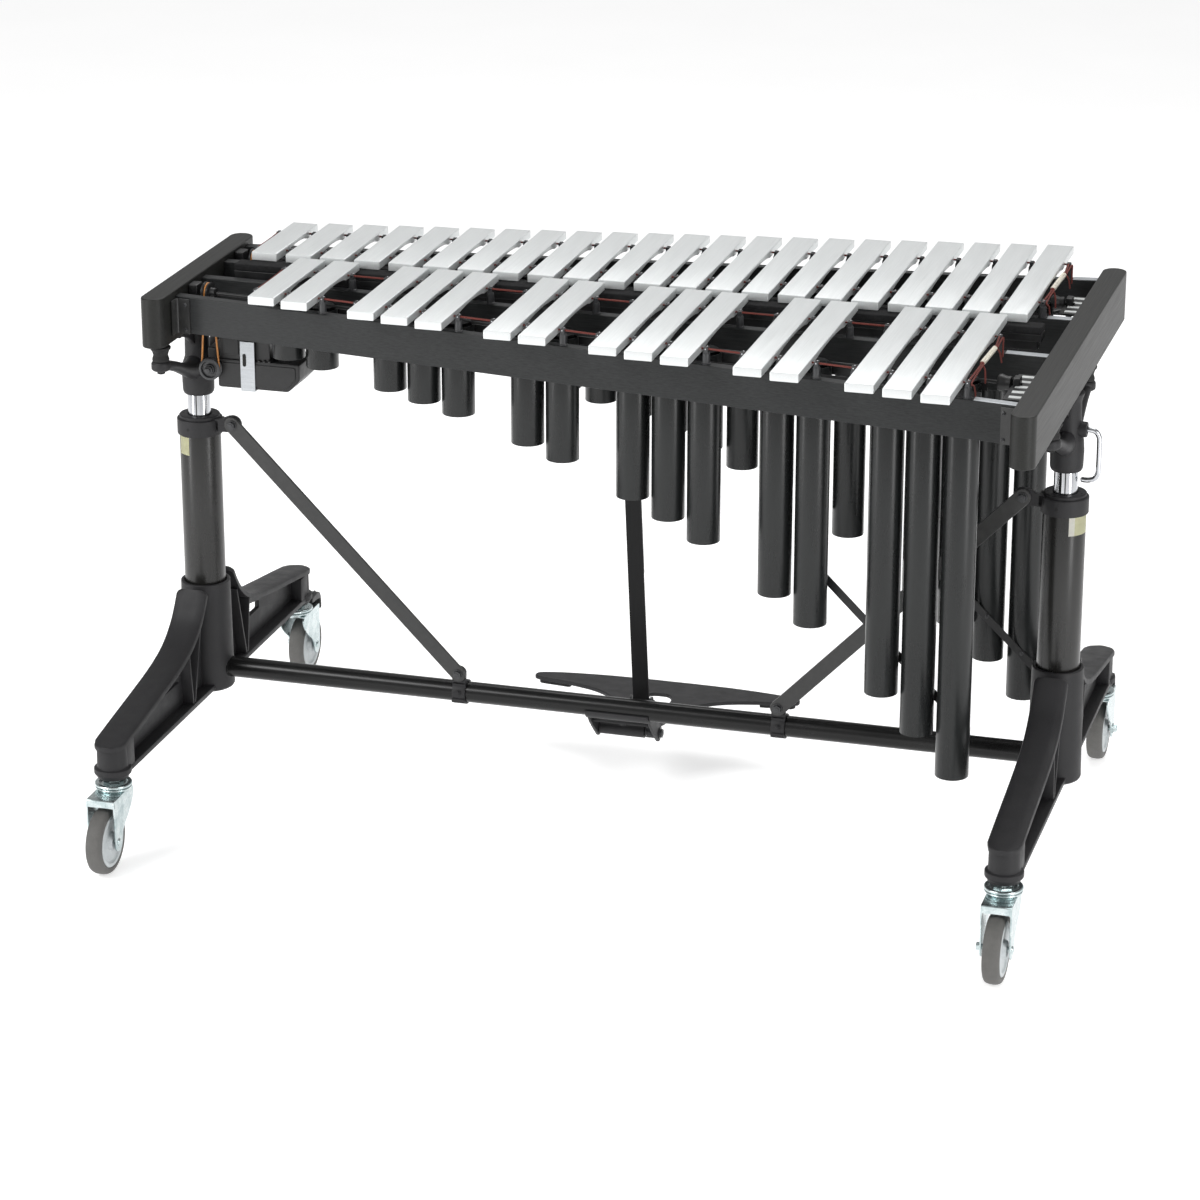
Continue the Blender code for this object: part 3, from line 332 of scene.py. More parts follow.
def soften(bm, width, segments=2, angle=0.6):
    """Round every edge that is sharper than the angle."""
    edges = [e for e in bm.edges if len(e.link_faces) == 2 and e.calc_face_angle(0) > angle]
    if width and edges:
        bmesh.ops.bevel(bm, geom=edges, offset=width, segments=segments, profile=0.5,
                        affect="EDGES", clamp_overlap=True)


def block(corner, opposite, bevel=0.0006, segments=2):
    """A box with rounded edges between two opposite corners."""
    sizes = [abs(b - a) for a, b in zip(corner, opposite)]
    middle = [(a + b) / 2 for a, b in zip(corner, opposite)]
    bm = bmesh.new()
    bmesh.ops.create_cube(bm, size=1.0)
    bmesh.ops.scale(bm, vec=sizes, verts=bm.verts)
    bmesh.ops.translate(bm, vec=middle, verts=bm.verts)
    soften(bm, bevel, segments)
    return mesh_of(bm)


def rod(start, end, radius, sides=32, bevel=0.0004):
    """A round bar between two points, with softened ends."""
    start = Vector(start)
    end = Vector(end)
    along = end - start
    bm = bmesh.new()
    bmesh.ops.create_cone(bm, cap_ends=True, segments=sides, radius1=radius, radius2=radius,
                          depth=along.length)
    turn = along.to_track_quat("Z", "Y").to_matrix().to_4x4()
    bmesh.ops.transform(bm, matrix=Matrix.Translation((start + end) / 2) @ turn, verts=bm.verts)
    caps = [e for e in bm.edges if any(len(f.verts) == sides for f in e.link_faces)]
    if bevel:
        bmesh.ops.bevel(bm, geom=caps, offset=bevel, segments=2, profile=0.5, affect="EDGES",
                        clamp_overlap=True)
    return mesh_of(bm)


def ball(centre, radius):
    bm = bmesh.new()
    bmesh.ops.create_uvsphere(bm, u_segments=20, v_segments=12, radius=radius)
    bmesh.ops.translate(bm, vec=centre, verts=bm.verts)
    return mesh_of(bm)


def turned(profile, centre=(0, 0, 0), axis=(0, 0, 1), sides=64, close=False):
    """A turned shape from (radius, height) points along the axis."""
    turn = Vector(axis).to_track_quat("Z", "Y").to_matrix()
    bm = bmesh.new()
    rings = []
    for radius, height in profile:
        count = sides if radius > 1e-6 else 1
        ring = []
        for i in range(count):
            a = 2 * math.pi * i / sides
            point = Vector((radius * math.cos(a), radius * math.sin(a), height))
            ring.append(bm.verts.new(turn @ point + Vector(centre)))
        rings.append(ring)
    pairs = list(zip(rings, rings[1:]))
    if close:
        pairs.append((rings[-1], rings[0]))
    for a, b in pairs:
        for i in range(sides):
            j = (i + 1) % sides
            corners = [a[i % len(a)], a[j % len(a)], b[j % len(b)], b[i % len(b)]]
            face = list(dict.fromkeys(corners))
            if len(face) > 2:
                bm.faces.new(face)
    return mesh_of(bm)


def rounded(profile, radius, steps=3, close=False):
    """The profile with its corners rounded."""
    out = []
    count = len(profile)
    for i, point in enumerate(profile):
        ends = not close and i in (0, count - 1)
        here = Vector(point)
        before = Vector(profile[i - 1]) - here
        after = Vector(profile[(i + 1) % count]) - here
        r = min(radius, 0.45 * before.length, 0.45 * after.length)
        if ends or r < 1e-5:
            out.append(tuple(here))
            continue
        a = here + before.normalized() * r
        b = here + after.normalized() * r
        for k in range(steps + 1):
            t = k / steps
            out.append(tuple((1 - t) ** 2 * a + 2 * t * (1 - t) * here + t ** 2 * b))
    return out


def ring_of(profile, soft, centre, sides, axis=(0, 0, 1), steps=3):
    """A turned ring: a closed profile with rounded corners."""
    return turned(rounded(profile, soft, steps, True), centre, axis, sides, True)


def curved(points, steps=6, close=False):
    """A smooth curve through the points."""
    points = [Vector(p) for p in points]
    count = len(points)
    out = []
    for i in range(count if close else count - 1):
        p1 = points[i]
        p2 = points[(i + 1) % count]
        p0 = points[i - 1] if close or i else p1
        p3 = points[(i + 2) % count] if close or i + 2 < count else p2
        for k in range(steps):
            t = k / steps
            out.append(0.5 * (2 * p1 + (p2 - p0) * t + (2 * p0 - 5 * p1 + 4 * p2 - p3) * t ** 2
                              + (3 * p1 - p0 - 3 * p2 + p3) * t ** 3))
    if not close:
        out.append(points[-1])
    return out


def sampled(curve_data, matrix=None):
    """The mesh of a curve, which is then removed."""
    obj = bpy.data.objects.new("outline", curve_data)
    bpy.context.scene.collection.objects.link(obj)
    if matrix is not None:
        obj.matrix_world = matrix
    bpy.context.view_layer.update()
    graph = bpy.context.evaluated_depsgraph_get()
    mesh = bpy.data.meshes.new_from_object(obj.evaluated_get(graph))
    mesh.transform(obj.matrix_world)
    bpy.data.objects.remove(obj, do_unlink=True)
    bpy.data.curves.remove(curve_data)
    bm = bmesh.new()
    bm.from_mesh(mesh)
    bmesh.ops.remove_doubles(bm, verts=bm.verts, dist=0.00003)
    return mesh_of(bm)


def plate(outlines, thickness, matrix, bevel=0.0006):
    """A flat plate with rounded edges, from one outline and its holes."""
    curve = bpy.data.curves.new("outline", "CURVE")
    curve.dimensions = "2D"
    curve.fill_mode = "BOTH"
    curve.extrude = thickness / 2 - bevel
    curve.bevel_depth = bevel
    curve.bevel_resolution = 1
    curve.offset = -bevel
    for points in outlines:
        spline = curve.splines.new("POLY")
        spline.points.add(len(points) - 1)
        for point, at in zip(spline.points, points):
            point.co = (at[0], at[1], 0, 1)
        spline.use_cyclic_u = True
    return sampled(curve, matrix)


def wire(path, radius, close=False, resolution=3):
    """A round wire along a path."""
    curve = bpy.data.curves.new("wire", "CURVE")
    curve.dimensions = "3D"
    curve.bevel_depth = radius
    curve.bevel_resolution = resolution
    curve.use_fill_caps = True
    spline = curve.splines.new("POLY")
    spline.points.add(len(path) - 1)
    for point, at in zip(spline.points, path):
        point.co = (*at, 1)
    spline.use_cyclic_u = close
    return sampled(curve)


def coil(start, end, radius, wire_r, turns, steps=12):
    """A coil spring between two points."""
    start = Vector(start)
    along = Vector(end) - start
    turn = along.to_track_quat("Z", "Y").to_matrix()
    path = []
    for i in range(turns * steps + 1):
        a = 2 * math.pi * i / steps
        offset = Vector((radius * math.cos(a), radius * math.sin(a), 0))
        path.append(start + along * (i / (turns * steps)) + turn @ offset)
    return wire(path, wire_r, resolution=1)


def loft(rings):
    """A skin over rings of equal length, closed at both ends."""
    bm = bmesh.new()
    rows = [[bm.verts.new(p) for p in ring] for ring in rings]
    for a, b in zip(rows, rows[1:]):
        for i in range(len(a)):
            j = (i + 1) % len(a)
            bm.faces.new((a[i], a[j], b[j], b[i]))
    bm.faces.new(rows[0])
    bm.faces.new(rows[-1])
    return mesh_of(bm)


def arc(cx, cy, radius, start, end, steps):
    """Points on an arc. Angles are in degrees."""
    angles = [math.radians(start + (end - start) * i / steps) for i in range(steps + 1)]
    return [(cx + radius * math.cos(a), cy + radius * math.sin(a)) for a in angles]


def frame_yz(x=0.0):
    """Stands a flat outline up in the YZ plane."""
    return Matrix(((0, 0, 1, x), (1, 0, 0, 0), (0, 1, 0, 0), (0, 0, 0, 1)))


def frame_xz(y=0.0):
    """Stands a flat outline up in the XZ plane."""
    return Matrix(((1, 0, 0, 0), (0, 0, -1, y), (0, 1, 0, 0), (0, 0, 0, 1)))


def frame_xy(z=0.0):
    return Matrix.Translation((0, 0, z))


def hexagon(start, end, radius):
    return rod(start, end, radius, 6, 0.0003)


def piece(name, meshes, mat, body, slot, *nodes, smooth=SMOOTH_ANGLE):
    """Join the meshes into one visible piece that rides on a body and stands for CAD nodes."""
    bm = bmesh.new()
    for mesh in meshes:
        bm.from_mesh(mesh)
        bpy.data.meshes.remove(mesh)
    mesh = bpy.data.meshes.new(name)
    bm.to_mesh(mesh)
    bm.free()
    mesh.materials.append(MATERIALS[mat])
    mesh.shade_smooth()
    mesh.set_sharp_from_angle(angle=smooth)
    obj = bpy.data.objects.new(name, mesh)
    bpy.context.scene.collection.objects.link(obj)
    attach(obj, body)
    if nodes:
        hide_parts(*nodes)
    return obj


# ---- bars, cords and posts ------------------------------------------------------
BAR_EDGE = 0.0012
ARCH_RISE = 0.0062
ARCH_STEPS = 16


def bar(name, x, ends, node):
    """One bar: rounded edges, and an arch cut out of its underside between the cords."""
    y0, y1 = ends
    length = y1 - y0
    mid = (y0 + y1) / 2
    half = 0.25 * length
    r = BAR_EDGE
    arch = []
    for i in range(ARCH_STEPS + 1):
        t = i / ARCH_STEPS
        rise = ARCH_RISE * math.sin(math.pi * t) ** 0.6
        arch.append((mid - half + 2 * half * t, BAR_BOTTOM + rise))
    outline = [(y0, BAR_BOTTOM)] + arch + [(y1, BAR_BOTTOM)]
    outline += arc(y1 - r, BAR_TOP - r, r, 0, 90, 3) + arc(y0 + r, BAR_TOP - r, r, 90, 180, 3)
    piece(name, [plate([outline], BAR_W, frame_yz(x), BAR_EDGE)], "bar_metal", "upper_frame",
          "bar_metal", node)


def bar_row(kind, steps, left, ends, runs):
    for word, (a, b) in runs.items():
        for i in range(a, b):
            bar(f"{kind}_bar_{i:02d}", left(steps[i]) + BAR_W / 2, ends(steps[i]),
                f"{kind}_bars_{word}")


def post_xs(steps, left):
    """Post places: on both sides of every bar."""
    return sorted({round(x, 5) for s in steps
                   for x in (left(s) - HALF_GAP, left(s) + BAR_W + HALF_GAP)})


POST_TOP = 0.7925
FORK_LOW = 0.79
FORK_HIGH = 0.7995
PIN_Z = 0.7975


def posts(name, xs, line):
    """Round posts with a fork for the cord, and a bright pin in each fork."""
    stems = []
    pins = []
    for x in xs:
        y = line(x)
        base = ((0, RAIL_TOP - 0.002), (POST_R + 0.001, RAIL_TOP - 0.002),
                (POST_R + 0.001, RAIL_TOP + 0.0012), (POST_R, RAIL_TOP + 0.002),
                (POST_R - 0.0004, POST_TOP - 0.002), (POST_R - 0.0014, POST_TOP), (0, POST_TOP))
        stems.append(turned(base, (x, y, 0), sides=20))
        for side in (-1, 1):
            prong = y + side * 0.0031
            stems.append(block((x - 0.0032, prong - 0.0011, FORK_LOW),
                               (x + 0.0032, prong + 0.0011, FORK_HIGH), 0.0008))
        pins.append(ball((x, y + 0.0046, PIN_Z), 0.0021))
        pins.append(rod((x, y - 0.0052, PIN_Z), (x, y + 0.0045, PIN_Z), 0.0009, 10, 0.0))
    piece(name + "_posts", stems, "post_grey_and_painted_light", "upper_frame", "plastic_black")
    piece(name + "_pins", pins, "chrome", "upper_frame", "chrome", smooth=ROUND)


def cord(name, xs, inner, outer, spring, nodes):
    """The bars' cord: along both lines, round the high end, and tied to a spring."""
    x0, x1 = xs[0], xs[-1]
    near, far = spring
    knot_a = (near[0], near[1], CORD_Z)
    knot_b = (far[0], far[1], CORD_Z)
    low, high = (outer, inner) if outer(x1) < inner(x1) else (inner, outer)
    path = [knot_a, (x1, low(x1) + 0.004, CORD_Z + 0.001)]
    path += [(x, low(x), CORD_Z) for x in reversed(xs)]
    path += [(x0 - 0.0015, lerp(low(x0), high(x0), t), CORD_Z - 0.0012 * math.sin(math.pi * t))
             for t in (0.08, 0.3, 0.5, 0.7, 0.92)]
    path += [(x, high(x), CORD_Z) for x in xs]
    path += [(x1, high(x1) - 0.004, CORD_Z + 0.001), knot_b]
    strands = [wire(path, CORD_R)]
    shift = 0.0026
    for knot, line, way in ((knot_a, low, -1), (knot_b, high, 1)):
        post = Vector((x1, line(x1), CORD_Z))
        tie = Vector(knot)
        second = [tie + Vector((shift, 0, 0)), tie.lerp(post, 0.5) + Vector((shift, 0, -0.001)),
                  post + Vector((shift + 0.002, 0, -0.001)),
                  post + Vector((shift + 0.004, -way * 0.01, -0.008)),
                  post + Vector((shift + 0.005, -way * 0.016, -0.024))]
        strands.append(wire(curved(second), CORD_R * 0.9))
        strands.append(ball(tie, 0.0032))
        tail = [tie, tie + Vector((0.005, way * 0.004, -0.008)),
                tie + Vector((0.007, way * 0.01, -0.024))]
        strands.append(wire(curved(tail), CORD_R * 0.9))
    piece(name + "_cord", strands, "cord_red", "upper_frame", "cord_red", *nodes, smooth=ROUND)
    a = Vector(knot_a).lerp(Vector(knot_b), 0.06)
    b = Vector(knot_a).lerp(Vector(knot_b), 0.94)
    body = [coil(a, b, 0.0031, 0.0008, 40)]
    body += [ball(p, 0.003) for p in (a, b)]
    piece(name + "_cord_spring", body, "spring_cream", "upper_frame", "spring_steel",
          smooth=ROUND)


# the two ends of each cord's spring
NATURAL_SPRING = ((0.5835, 0.189), (0.5855, 0.277))
SHARP_SPRING = ((0.5575, -0.194), (0.5605, -0.114))


def keyboard():
    naturals = list(range(NATURALS))
    bar_row("natural", naturals, bar_left, natural_ends, NATURAL_RUNS)
    bar_row("accidental", SHARP_STEPS, sharp_left, sharp_ends, SHARP_RUNS)
    natural_posts = post_xs(naturals, bar_left)
    sharp_posts = post_xs(SHARP_STEPS, sharp_left)
    posts("front_rail", sharp_posts, sharp_outer)
    posts("accidental_inner_rail", sharp_posts, sharp_inner)
    posts("natural_inner_rail", natural_posts, natural_inner)
    posts("rear_rail", natural_posts, natural_outer)
    cord("natural", natural_posts, natural_inner, natural_outer, NATURAL_SPRING,
         [f"natural_bars_{w}" for w in NATURAL_RUNS])
    cord("accidental", sharp_posts, sharp_inner, sharp_outer, SHARP_SPRING,
         [f"accidental_bars_{w}" for w in SHARP_RUNS])


# ---- boards and rails -------------------------------------------------------------
def end_board(word):
    """An end board with round ends."""
    x, near, far = BOARDS[word]
    r = BOARD_HALF
    ring = arc(x, near + r, r, 180, 360, 24) + arc(x, far - r, r, 0, 180, 24)
    mesh = plate([ring], BOARD_TOP - BOARD_BOTTOM,
                 frame_xy((BOARD_TOP + BOARD_BOTTOM) / 2), 0.0016)
    piece("board_" + word, [mesh], "board_black", "upper_frame", "board_black",
          "end_board_" + word)


def screw(centre, axis, radius=0.003):
    """A round screw head with a sunk cross recess."""
    profile = ((0, 0.0016), (radius * 0.3, 0.0016), (radius * 0.34, 0.0007),
               (radius * 0.46, 0.0007), (radius * 0.5, 0.0016), (radius, 0.0009),
               (radius, -0.001), (0, -0.001))
    return turned(rounded(profile, 0.0003), centre, axis, 20)


def bolt(start, end, radius, meshes):
    """Add a hexagon head on a washer, from start to end."""
    s = Vector(start)
    e = Vector(end)
    way = (e - s).normalized()
    meshes.append(rod(s, s + way * 0.0012, radius * 1.25, 24))
    meshes.append(hexagon(s + way * 0.0012, e - way * 0.0008, radius))
    meshes.append(rod(e - way * 0.001, e, radius * 0.55, 16))


RAILS = {"front_rail": sharp_outer, "accidental_inner_rail": sharp_inner,
         "natural_inner_rail": natural_inner, "rear_rail": natural_outer}


def rails():
    """Four rails, each with a metal strip on top."""
    x0 = -COLUMN_X + BOARD_HALF + 0.0003
    x1 = COLUMN_X - BOARD_HALF - 0.0003
    strips = []
    for name, line in RAILS.items():
        ring = strip_ring(x0, x1, line, -RAIL_HALF, RAIL_HALF)
        mesh = plate([ring], RAIL_TOP - RAIL_BOTTOM, frame_xy((RAIL_TOP + RAIL_BOTTOM) / 2),
                     0.001)
        piece(name + "_board", [mesh], "rail_black", "upper_frame", "board_black", name)
        low = 0.566 if line in (sharp_outer, sharp_inner) else 0.59
        half = RAIL_HALF - 0.0012
        ring = strip_ring(low, x1, line, -half, half)
        strips.append(plate([ring], 0.0016, frame_xy(RAIL_TOP + 0.0002), 0.0004))
    piece("rail_strips", strips, "trim_silver", "upper_frame", "rail_trim")


COMBS = ((-0.246, -0.128, 5), (0.178, 0.27, 4))
COMB_WALL = 0.6272
SLOT_A, SLOT_B = 0.602, 0.62
CORNER_Z = 0.7475


def strip_ring(x0, x1, line, near, far):
    """Outline of a strip along a line, between two offsets from it."""
    return [(x0, line(x0) + near), (x1, line(x1) + near), (x1, line(x1) + far),
            (x0, line(x0) + far)]


def corner_plates():
    """Folded plates that join the front rail to the end boards, with their screws."""
    plates = []
    heads = []
    slope = (sharp_outer(0.6) - sharp_outer(-0.6)) / 1.2
    normal = Vector((slope, -1, 0)).normalized()
    for low, high, screw_x in ((-0.6272, -0.6044, -0.6106), (0.6045, 0.6272, 0.6086)):
        ring = strip_ring(low, high, sharp_outer, -RAIL_HALF - 0.0022, -RAIL_HALF + 0.0005)
        plates.append(plate([ring], 0.051, frame_xy(CORNER_Z), 0.0006))
        for z in (0.7645, 0.728):
            spot = Vector((screw_x, sharp_outer(screw_x) - RAIL_HALF, z)) + normal * 0.0024
            heads.append(screw(spot, normal, 0.0028))
    x = -0.6272
    front = sharp_outer(x) - RAIL_HALF
    fold = curved([(x + 0.009, front - 0.0016), (x + 0.0045, front - 0.003),
                   (x + 0.0024, front - 0.0075), (x + 0.0022, front - 0.021)])
    back = [(p.x - 0.0018, p.y + 0.0012) for p in reversed(fold)]
    plates.append(plate([fold + back], 0.051, frame_xy(CORNER_Z), 0.0004))
    # the corner plates take the lighter black with its painted sheen
    piece("corner_plates", plates, "brace_black_painted_sheen", "upper_frame", "board_black")
    # the screw heads take the grey, lightened past their black as painted light
    piece("corner_screws", heads, "post_grey_and_painted_light", "upper_frame", "plastic_black")


def combs():
    """Slotted plates between the low end of the rails and the right end board."""
    plates = []
    pads = []
    for low, high, count in COMBS:
        outline = [(0.596, low), (COMB_WALL, low), (COMB_WALL, high), (0.596, high)]
        pitch = (high - low) / count
        slots = []
        for i in range(count):
            c = low + pitch * (i + 0.5)
            slots.append([(SLOT_A, c - 0.0052), (SLOT_B, c - 0.0052), (SLOT_B, c + 0.0052),
                          (SLOT_A, c + 0.0052)])
            pads.append(block((SLOT_A, c - 0.0046, 0.764), (SLOT_B, c + 0.0046, 0.7672), 0.0006))
        plates.append(plate([outline] + slots, 0.003, frame_xy(0.765), 0.0004))
        plates.append(block((0.6235, low, 0.724), (COMB_WALL, high, 0.766)))
    piece("slotted_plates", plates, "plastic_black", "upper_frame", "plastic_black")
    piece("slot_pads", pads, "slot_white", "upper_frame", "wheel_hub")


# ---- resonators, fans, motor ----------------------------------------------------
NATURAL_TUBES = (0.6, 0.074)
SHARP_TUBES = (0.573, 0.078)
TIE_Z = TUBE_TOP - 0.012
TIE_LIFT = 0.075
TIE_OVERHANG = 0.02


def tube_lengths(steps, ends, last):
    """Tubes that grow by the same ratio at each step, from the shortest to the longest."""
    longest, shortest = ends
    return [shortest * (longest / shortest) ** (s / last) for s in steps]


def bank(kind, xs, line, lengths, side):
    """One row of closed tubes with its two side strips, lower tie and screws."""
    tubes = []
    screws = []
    for x, length in zip(xs, lengths):
        z = TUBE_TOP - length
        r = TUBE_R
        profile = rounded(((0, z + 0.0012), (r - 0.0022, z + 0.0012), (r - 0.002, z), (r, z),
                           (r, TUBE_TOP), (r - TUBE_WALL, TUBE_TOP), (r - TUBE_WALL, z + 0.004),
                           (0, z + 0.004)), 0.0006, 2)
        tubes.append(turned(profile, (x, line(x), 0), sides=56))
    piece(kind + "_tubes", tubes, "tube_black", "upper_frame", "resonator_black",
          kind + "_resonators")
    x0, x1 = xs[0] - 0.028, xs[-1] + 0.028
    slope = (line(x1) - line(x0)) / (x1 - x0)
    strips = []
    for way in (-1, 1):
        off = way * (TUBE_R + 0.0004)
        ring = strip_ring(x0, x1, line, off - 0.0009, off + 0.0009)
        strips.append(plate([ring], 0.012, frame_xy(TIE_Z), 0.0003))
        normal = Vector((-slope, 1, 0)).normalized() * way
        for x in xs:
            spot = Vector((x, line(x), TIE_Z)) + normal * (TUBE_R + 0.0012)
            screws.append(screw(spot, normal, 0.0026))
    strips.append(lower_tie(xs, line, lengths, side, slope, screws))
    piece(kind + "_tube_ties", strips, "flat_black", "upper_frame", "resonator_black",
          kind + "_resonators")
    piece(kind + "_tube_screws", screws, "post_grey_and_painted_light", "upper_frame", "zinc_plate")


def lower_tie(xs, line, lengths, side, slope, screws):
    """Slanting flat bar across the longest tubes."""
    off = side * (TUBE_R + 0.0008)
    first = -3 if side < 0 else -4
    xa, xb = xs[first], xs[-1]
    za = TUBE_TOP - lengths[first] + TIE_LIFT
    zb = TUBE_TOP - lengths[-1] + TIE_LIFT
    rise = (zb - za) / (xb - xa)
    turn = math.atan(slope)
    along = 1 / math.cos(turn)
    normal = Vector((-slope, 1, 0)).normalized() * side
    for x in xs[first:]:
        spot = Vector((x, line(x), za + (x - xa) * rise)) + normal * (TUBE_R + 0.002)
        screws.append(screw(spot, normal, 0.003))
    xa, xb = xa - TIE_OVERHANG, xb + TIE_OVERHANG
    za, zb = za - TIE_OVERHANG * rise, zb + TIE_OVERHANG * rise
    ring = [(xa * along, za - 0.008), (xb * along, zb - 0.008),
            (xb * along, zb + 0.008), (xa * along, za + 0.008)]
    matrix = Matrix.Translation((0, line(0) + off, 0)) @ Matrix.Rotation(turn, 4, "Z")
    return plate([ring], 0.0022, matrix @ frame_xz(0), 0.0005)


def fan_shaft(kind, line, xs, body):
    """A shaft with a disc over each tube, its pulley, end knob and bearings."""
    x0, x1 = MOTOR_X - 0.006, 0.61
    start = Vector((x0, line(x0), SHAFT_Z))
    end = Vector((x1, line(x1), SHAFT_Z))
    along = (end - start).normalized()
    metal = [rod(start, end, 0.0025, 20)]
    half = Vector((0, 0, 0.0007))
    for x in xs:
        middle = Vector((x, line(x), SHAFT_Z))
        metal.append(rod(middle - half, middle + half, DISC_R, 40, 0.0003))
    piece(kind + "_fans", metal, "flat_black", body, "zinc_plate", kind + "_fan_shaft")
    centre = Vector((MOTOR_X, line(MOTOR_X), SHAFT_Z))
    rim = PULLEY_R + 0.0022
    valley = PULLEY_R - 0.0008
    groove = ((0.0026, -0.005), (rim, -0.005), (rim, -0.0032), (valley, -0.001), (valley, 0.001),
              (rim, 0.0032), (rim, 0.005), (0.008, 0.0052), (0.0075, 0.013), (0.0026, 0.013))
    knob = ((0.0026, -0.01), (0.0105, -0.01), (0.012, -0.006), (0.0095, 0.002), (0.01, 0.008),
            (0.0026, 0.01))
    knob_at = Vector((KNOB_X, line(KNOB_X), SHAFT_Z))
    ends = [ring_of(groove, 0.0005, centre, 40, along, 2),
            ring_of(knob, 0.0012, knob_at, 32, along)]
    piece(kind + "_fan_pulley", ends, "plastic_black", body, "plastic_black",
          kind + "_fan_shaft")
    high_y, low_y = line(-0.62), line(0.6)
    blocks = [block((-0.6272, high_y - 0.011, 0.748), (-0.6125, high_y + 0.011, 0.78), 0.002),
              block((0.5985, low_y - 0.009, 0.75), (0.608, low_y + 0.009, 0.778), 0.002)]
    piece(kind + "_shaft_bearings", blocks, "plastic_black", "upper_frame", "plastic_black")


def belt(kind, y):
    """A round belt from the motor pulley, turned a quarter to the shaft pulley."""
    thick = 0.0014
    r = PULLEY_R + thick * 0.4
    low = [(MOTOR_X + dx, y, MOTOR_Z + dz) for dx, dz in arc(0, 0, r, 180, 360, 20)]
    top = [(MOTOR_X, y + dy, SHAFT_Z + dz) for dy, dz in arc(0, 0, r, 0, 180, 20)]
    piece(kind + "_belt", [wire(low + top, thick, True)], "belt_orange", "upper_frame",
          "belt_orange", kind + "_fan_belt", smooth=ROUND)


def motor():
    """Motor box with its lid, strap and spindle, and both belts."""
    ys = (sharp_mid(MOTOR_X), natural_mid(MOTOR_X))
    front, back = ys[0] + 0.008, ys[0] + 0.078
    outline = rounded([(-0.592, 0.624), (-0.484, 0.624), (-0.466, 0.642), (-0.466, 0.667),
                       (-0.592, 0.667)], 0.004, 3, True)
    body = [plate([outline], back - front, frame_xz((front + back) / 2), 0.002)]
    body.append(block((MOTOR_X - 0.014, -0.036, 0.638), (-0.588, 0.03, 0.677), 0.002))
    body.append(block((-0.59, -0.051, 0.664), (-0.512, -0.01, 0.7195), 0.002))
    body.append(block((-0.584, -0.0525, 0.674), (-0.56, -0.048, 0.712), 0.001))
    for x in (-0.53, -0.522, -0.514):
        body.append(block((x, front - 0.0003, 0.6655), (x + 0.004, back - 0.004, 0.669), 0.0008))
    lid = rounded([(-0.587, 0.629), (-0.486, 0.629), (-0.472, 0.644), (-0.472, 0.662),
                   (-0.587, 0.662)], 0.003, 3, True)
    body.append(plate([lid], 0.002, frame_xz(front - 0.0004), 0.0006))
    piece("motor_box", body, "plastic_black", "upper_frame", "plastic_black", "motor_housing")
    lo, hi = front - 0.0032, back + 0.0021
    strap = [(lo, 0.6219), (hi, 0.6219), (hi, 0.666), (hi - 0.0016, 0.666),
             (hi - 0.0016, 0.6236), (lo + 0.0016, 0.6236), (lo + 0.0016, 0.696), (lo, 0.696)]
    strip = plate([strap], 0.022, frame_yz(-0.5445), 0.0004)
    # dark sheet laid on the strap where its slot is: the black box behind it and painted shade
    slot_outline = arc(-0.549, 0.6755, 0.0026, 0, 180, 10)
    slot_outline += arc(-0.549, 0.6615, 0.0026, 180, 360, 10)
    piece("motor_band", [strip], "trim_silver", "upper_frame", "chrome", "motor_strap")
    piece("motor_band_slot_shade", [plate([slot_outline], 0.0008, frame_xz(lo - 0.0003), 0.0002)],
          "rubber_black", "upper_frame", "rubber_black")
    spindle = [rod((MOTOR_X, ys[0] - 0.012, MOTOR_Z), (MOTOR_X, ys[1] + 0.008, MOTOR_Z), 0.004)]
    rim = PULLEY_R + 0.0034
    for y in ys:
        wheel = rounded(((0.0, -0.0056), (0.0074, -0.0056), (0.008, -0.0018), (0.0118, -0.0018),
                         (0.0126, -0.0056), (rim, -0.005), (rim, -0.0032),
                         (PULLEY_R - 0.0008, -0.0012), (PULLEY_R - 0.0008, 0.0012), (rim, 0.0032),
                         (rim, 0.005), (0.0, 0.005)), 0.0005, 2)
        spindle.append(turned(wheel, (MOTOR_X, y, MOTOR_Z), (0, 1, 0), 48))
    nose = rounded(((0, -0.0135), (0.0038, -0.0135), (0.0044, -0.01), (0.006, -0.0095),
                    (0.0064, -0.0055), (0, -0.0055)), 0.0005, 2)
    spindle.append(turned(nose, (MOTOR_X, ys[0], MOTOR_Z), (0, 1, 0), 32))
    piece("motor_pulleys", spindle, "post_grey_and_painted_light", "motor_drive", "plastic_black", "motor_shaft")
    belt("accidental", ys[0])
    belt("natural", ys[1])


# ---- base -----------------------------------------------------------------------------
CAP_CURVE = ((-0.4, LEG_TOP), (-0.33, 0.1975), (-0.25, 0.21), (-0.185, 0.221),
             (-0.14, 0.2325), (-0.11, 0.246), (-0.086, 0.264), (-0.07, 0.283),
             (-0.0615, 0.296), (-0.056, HUB_TOP + 0.0005))


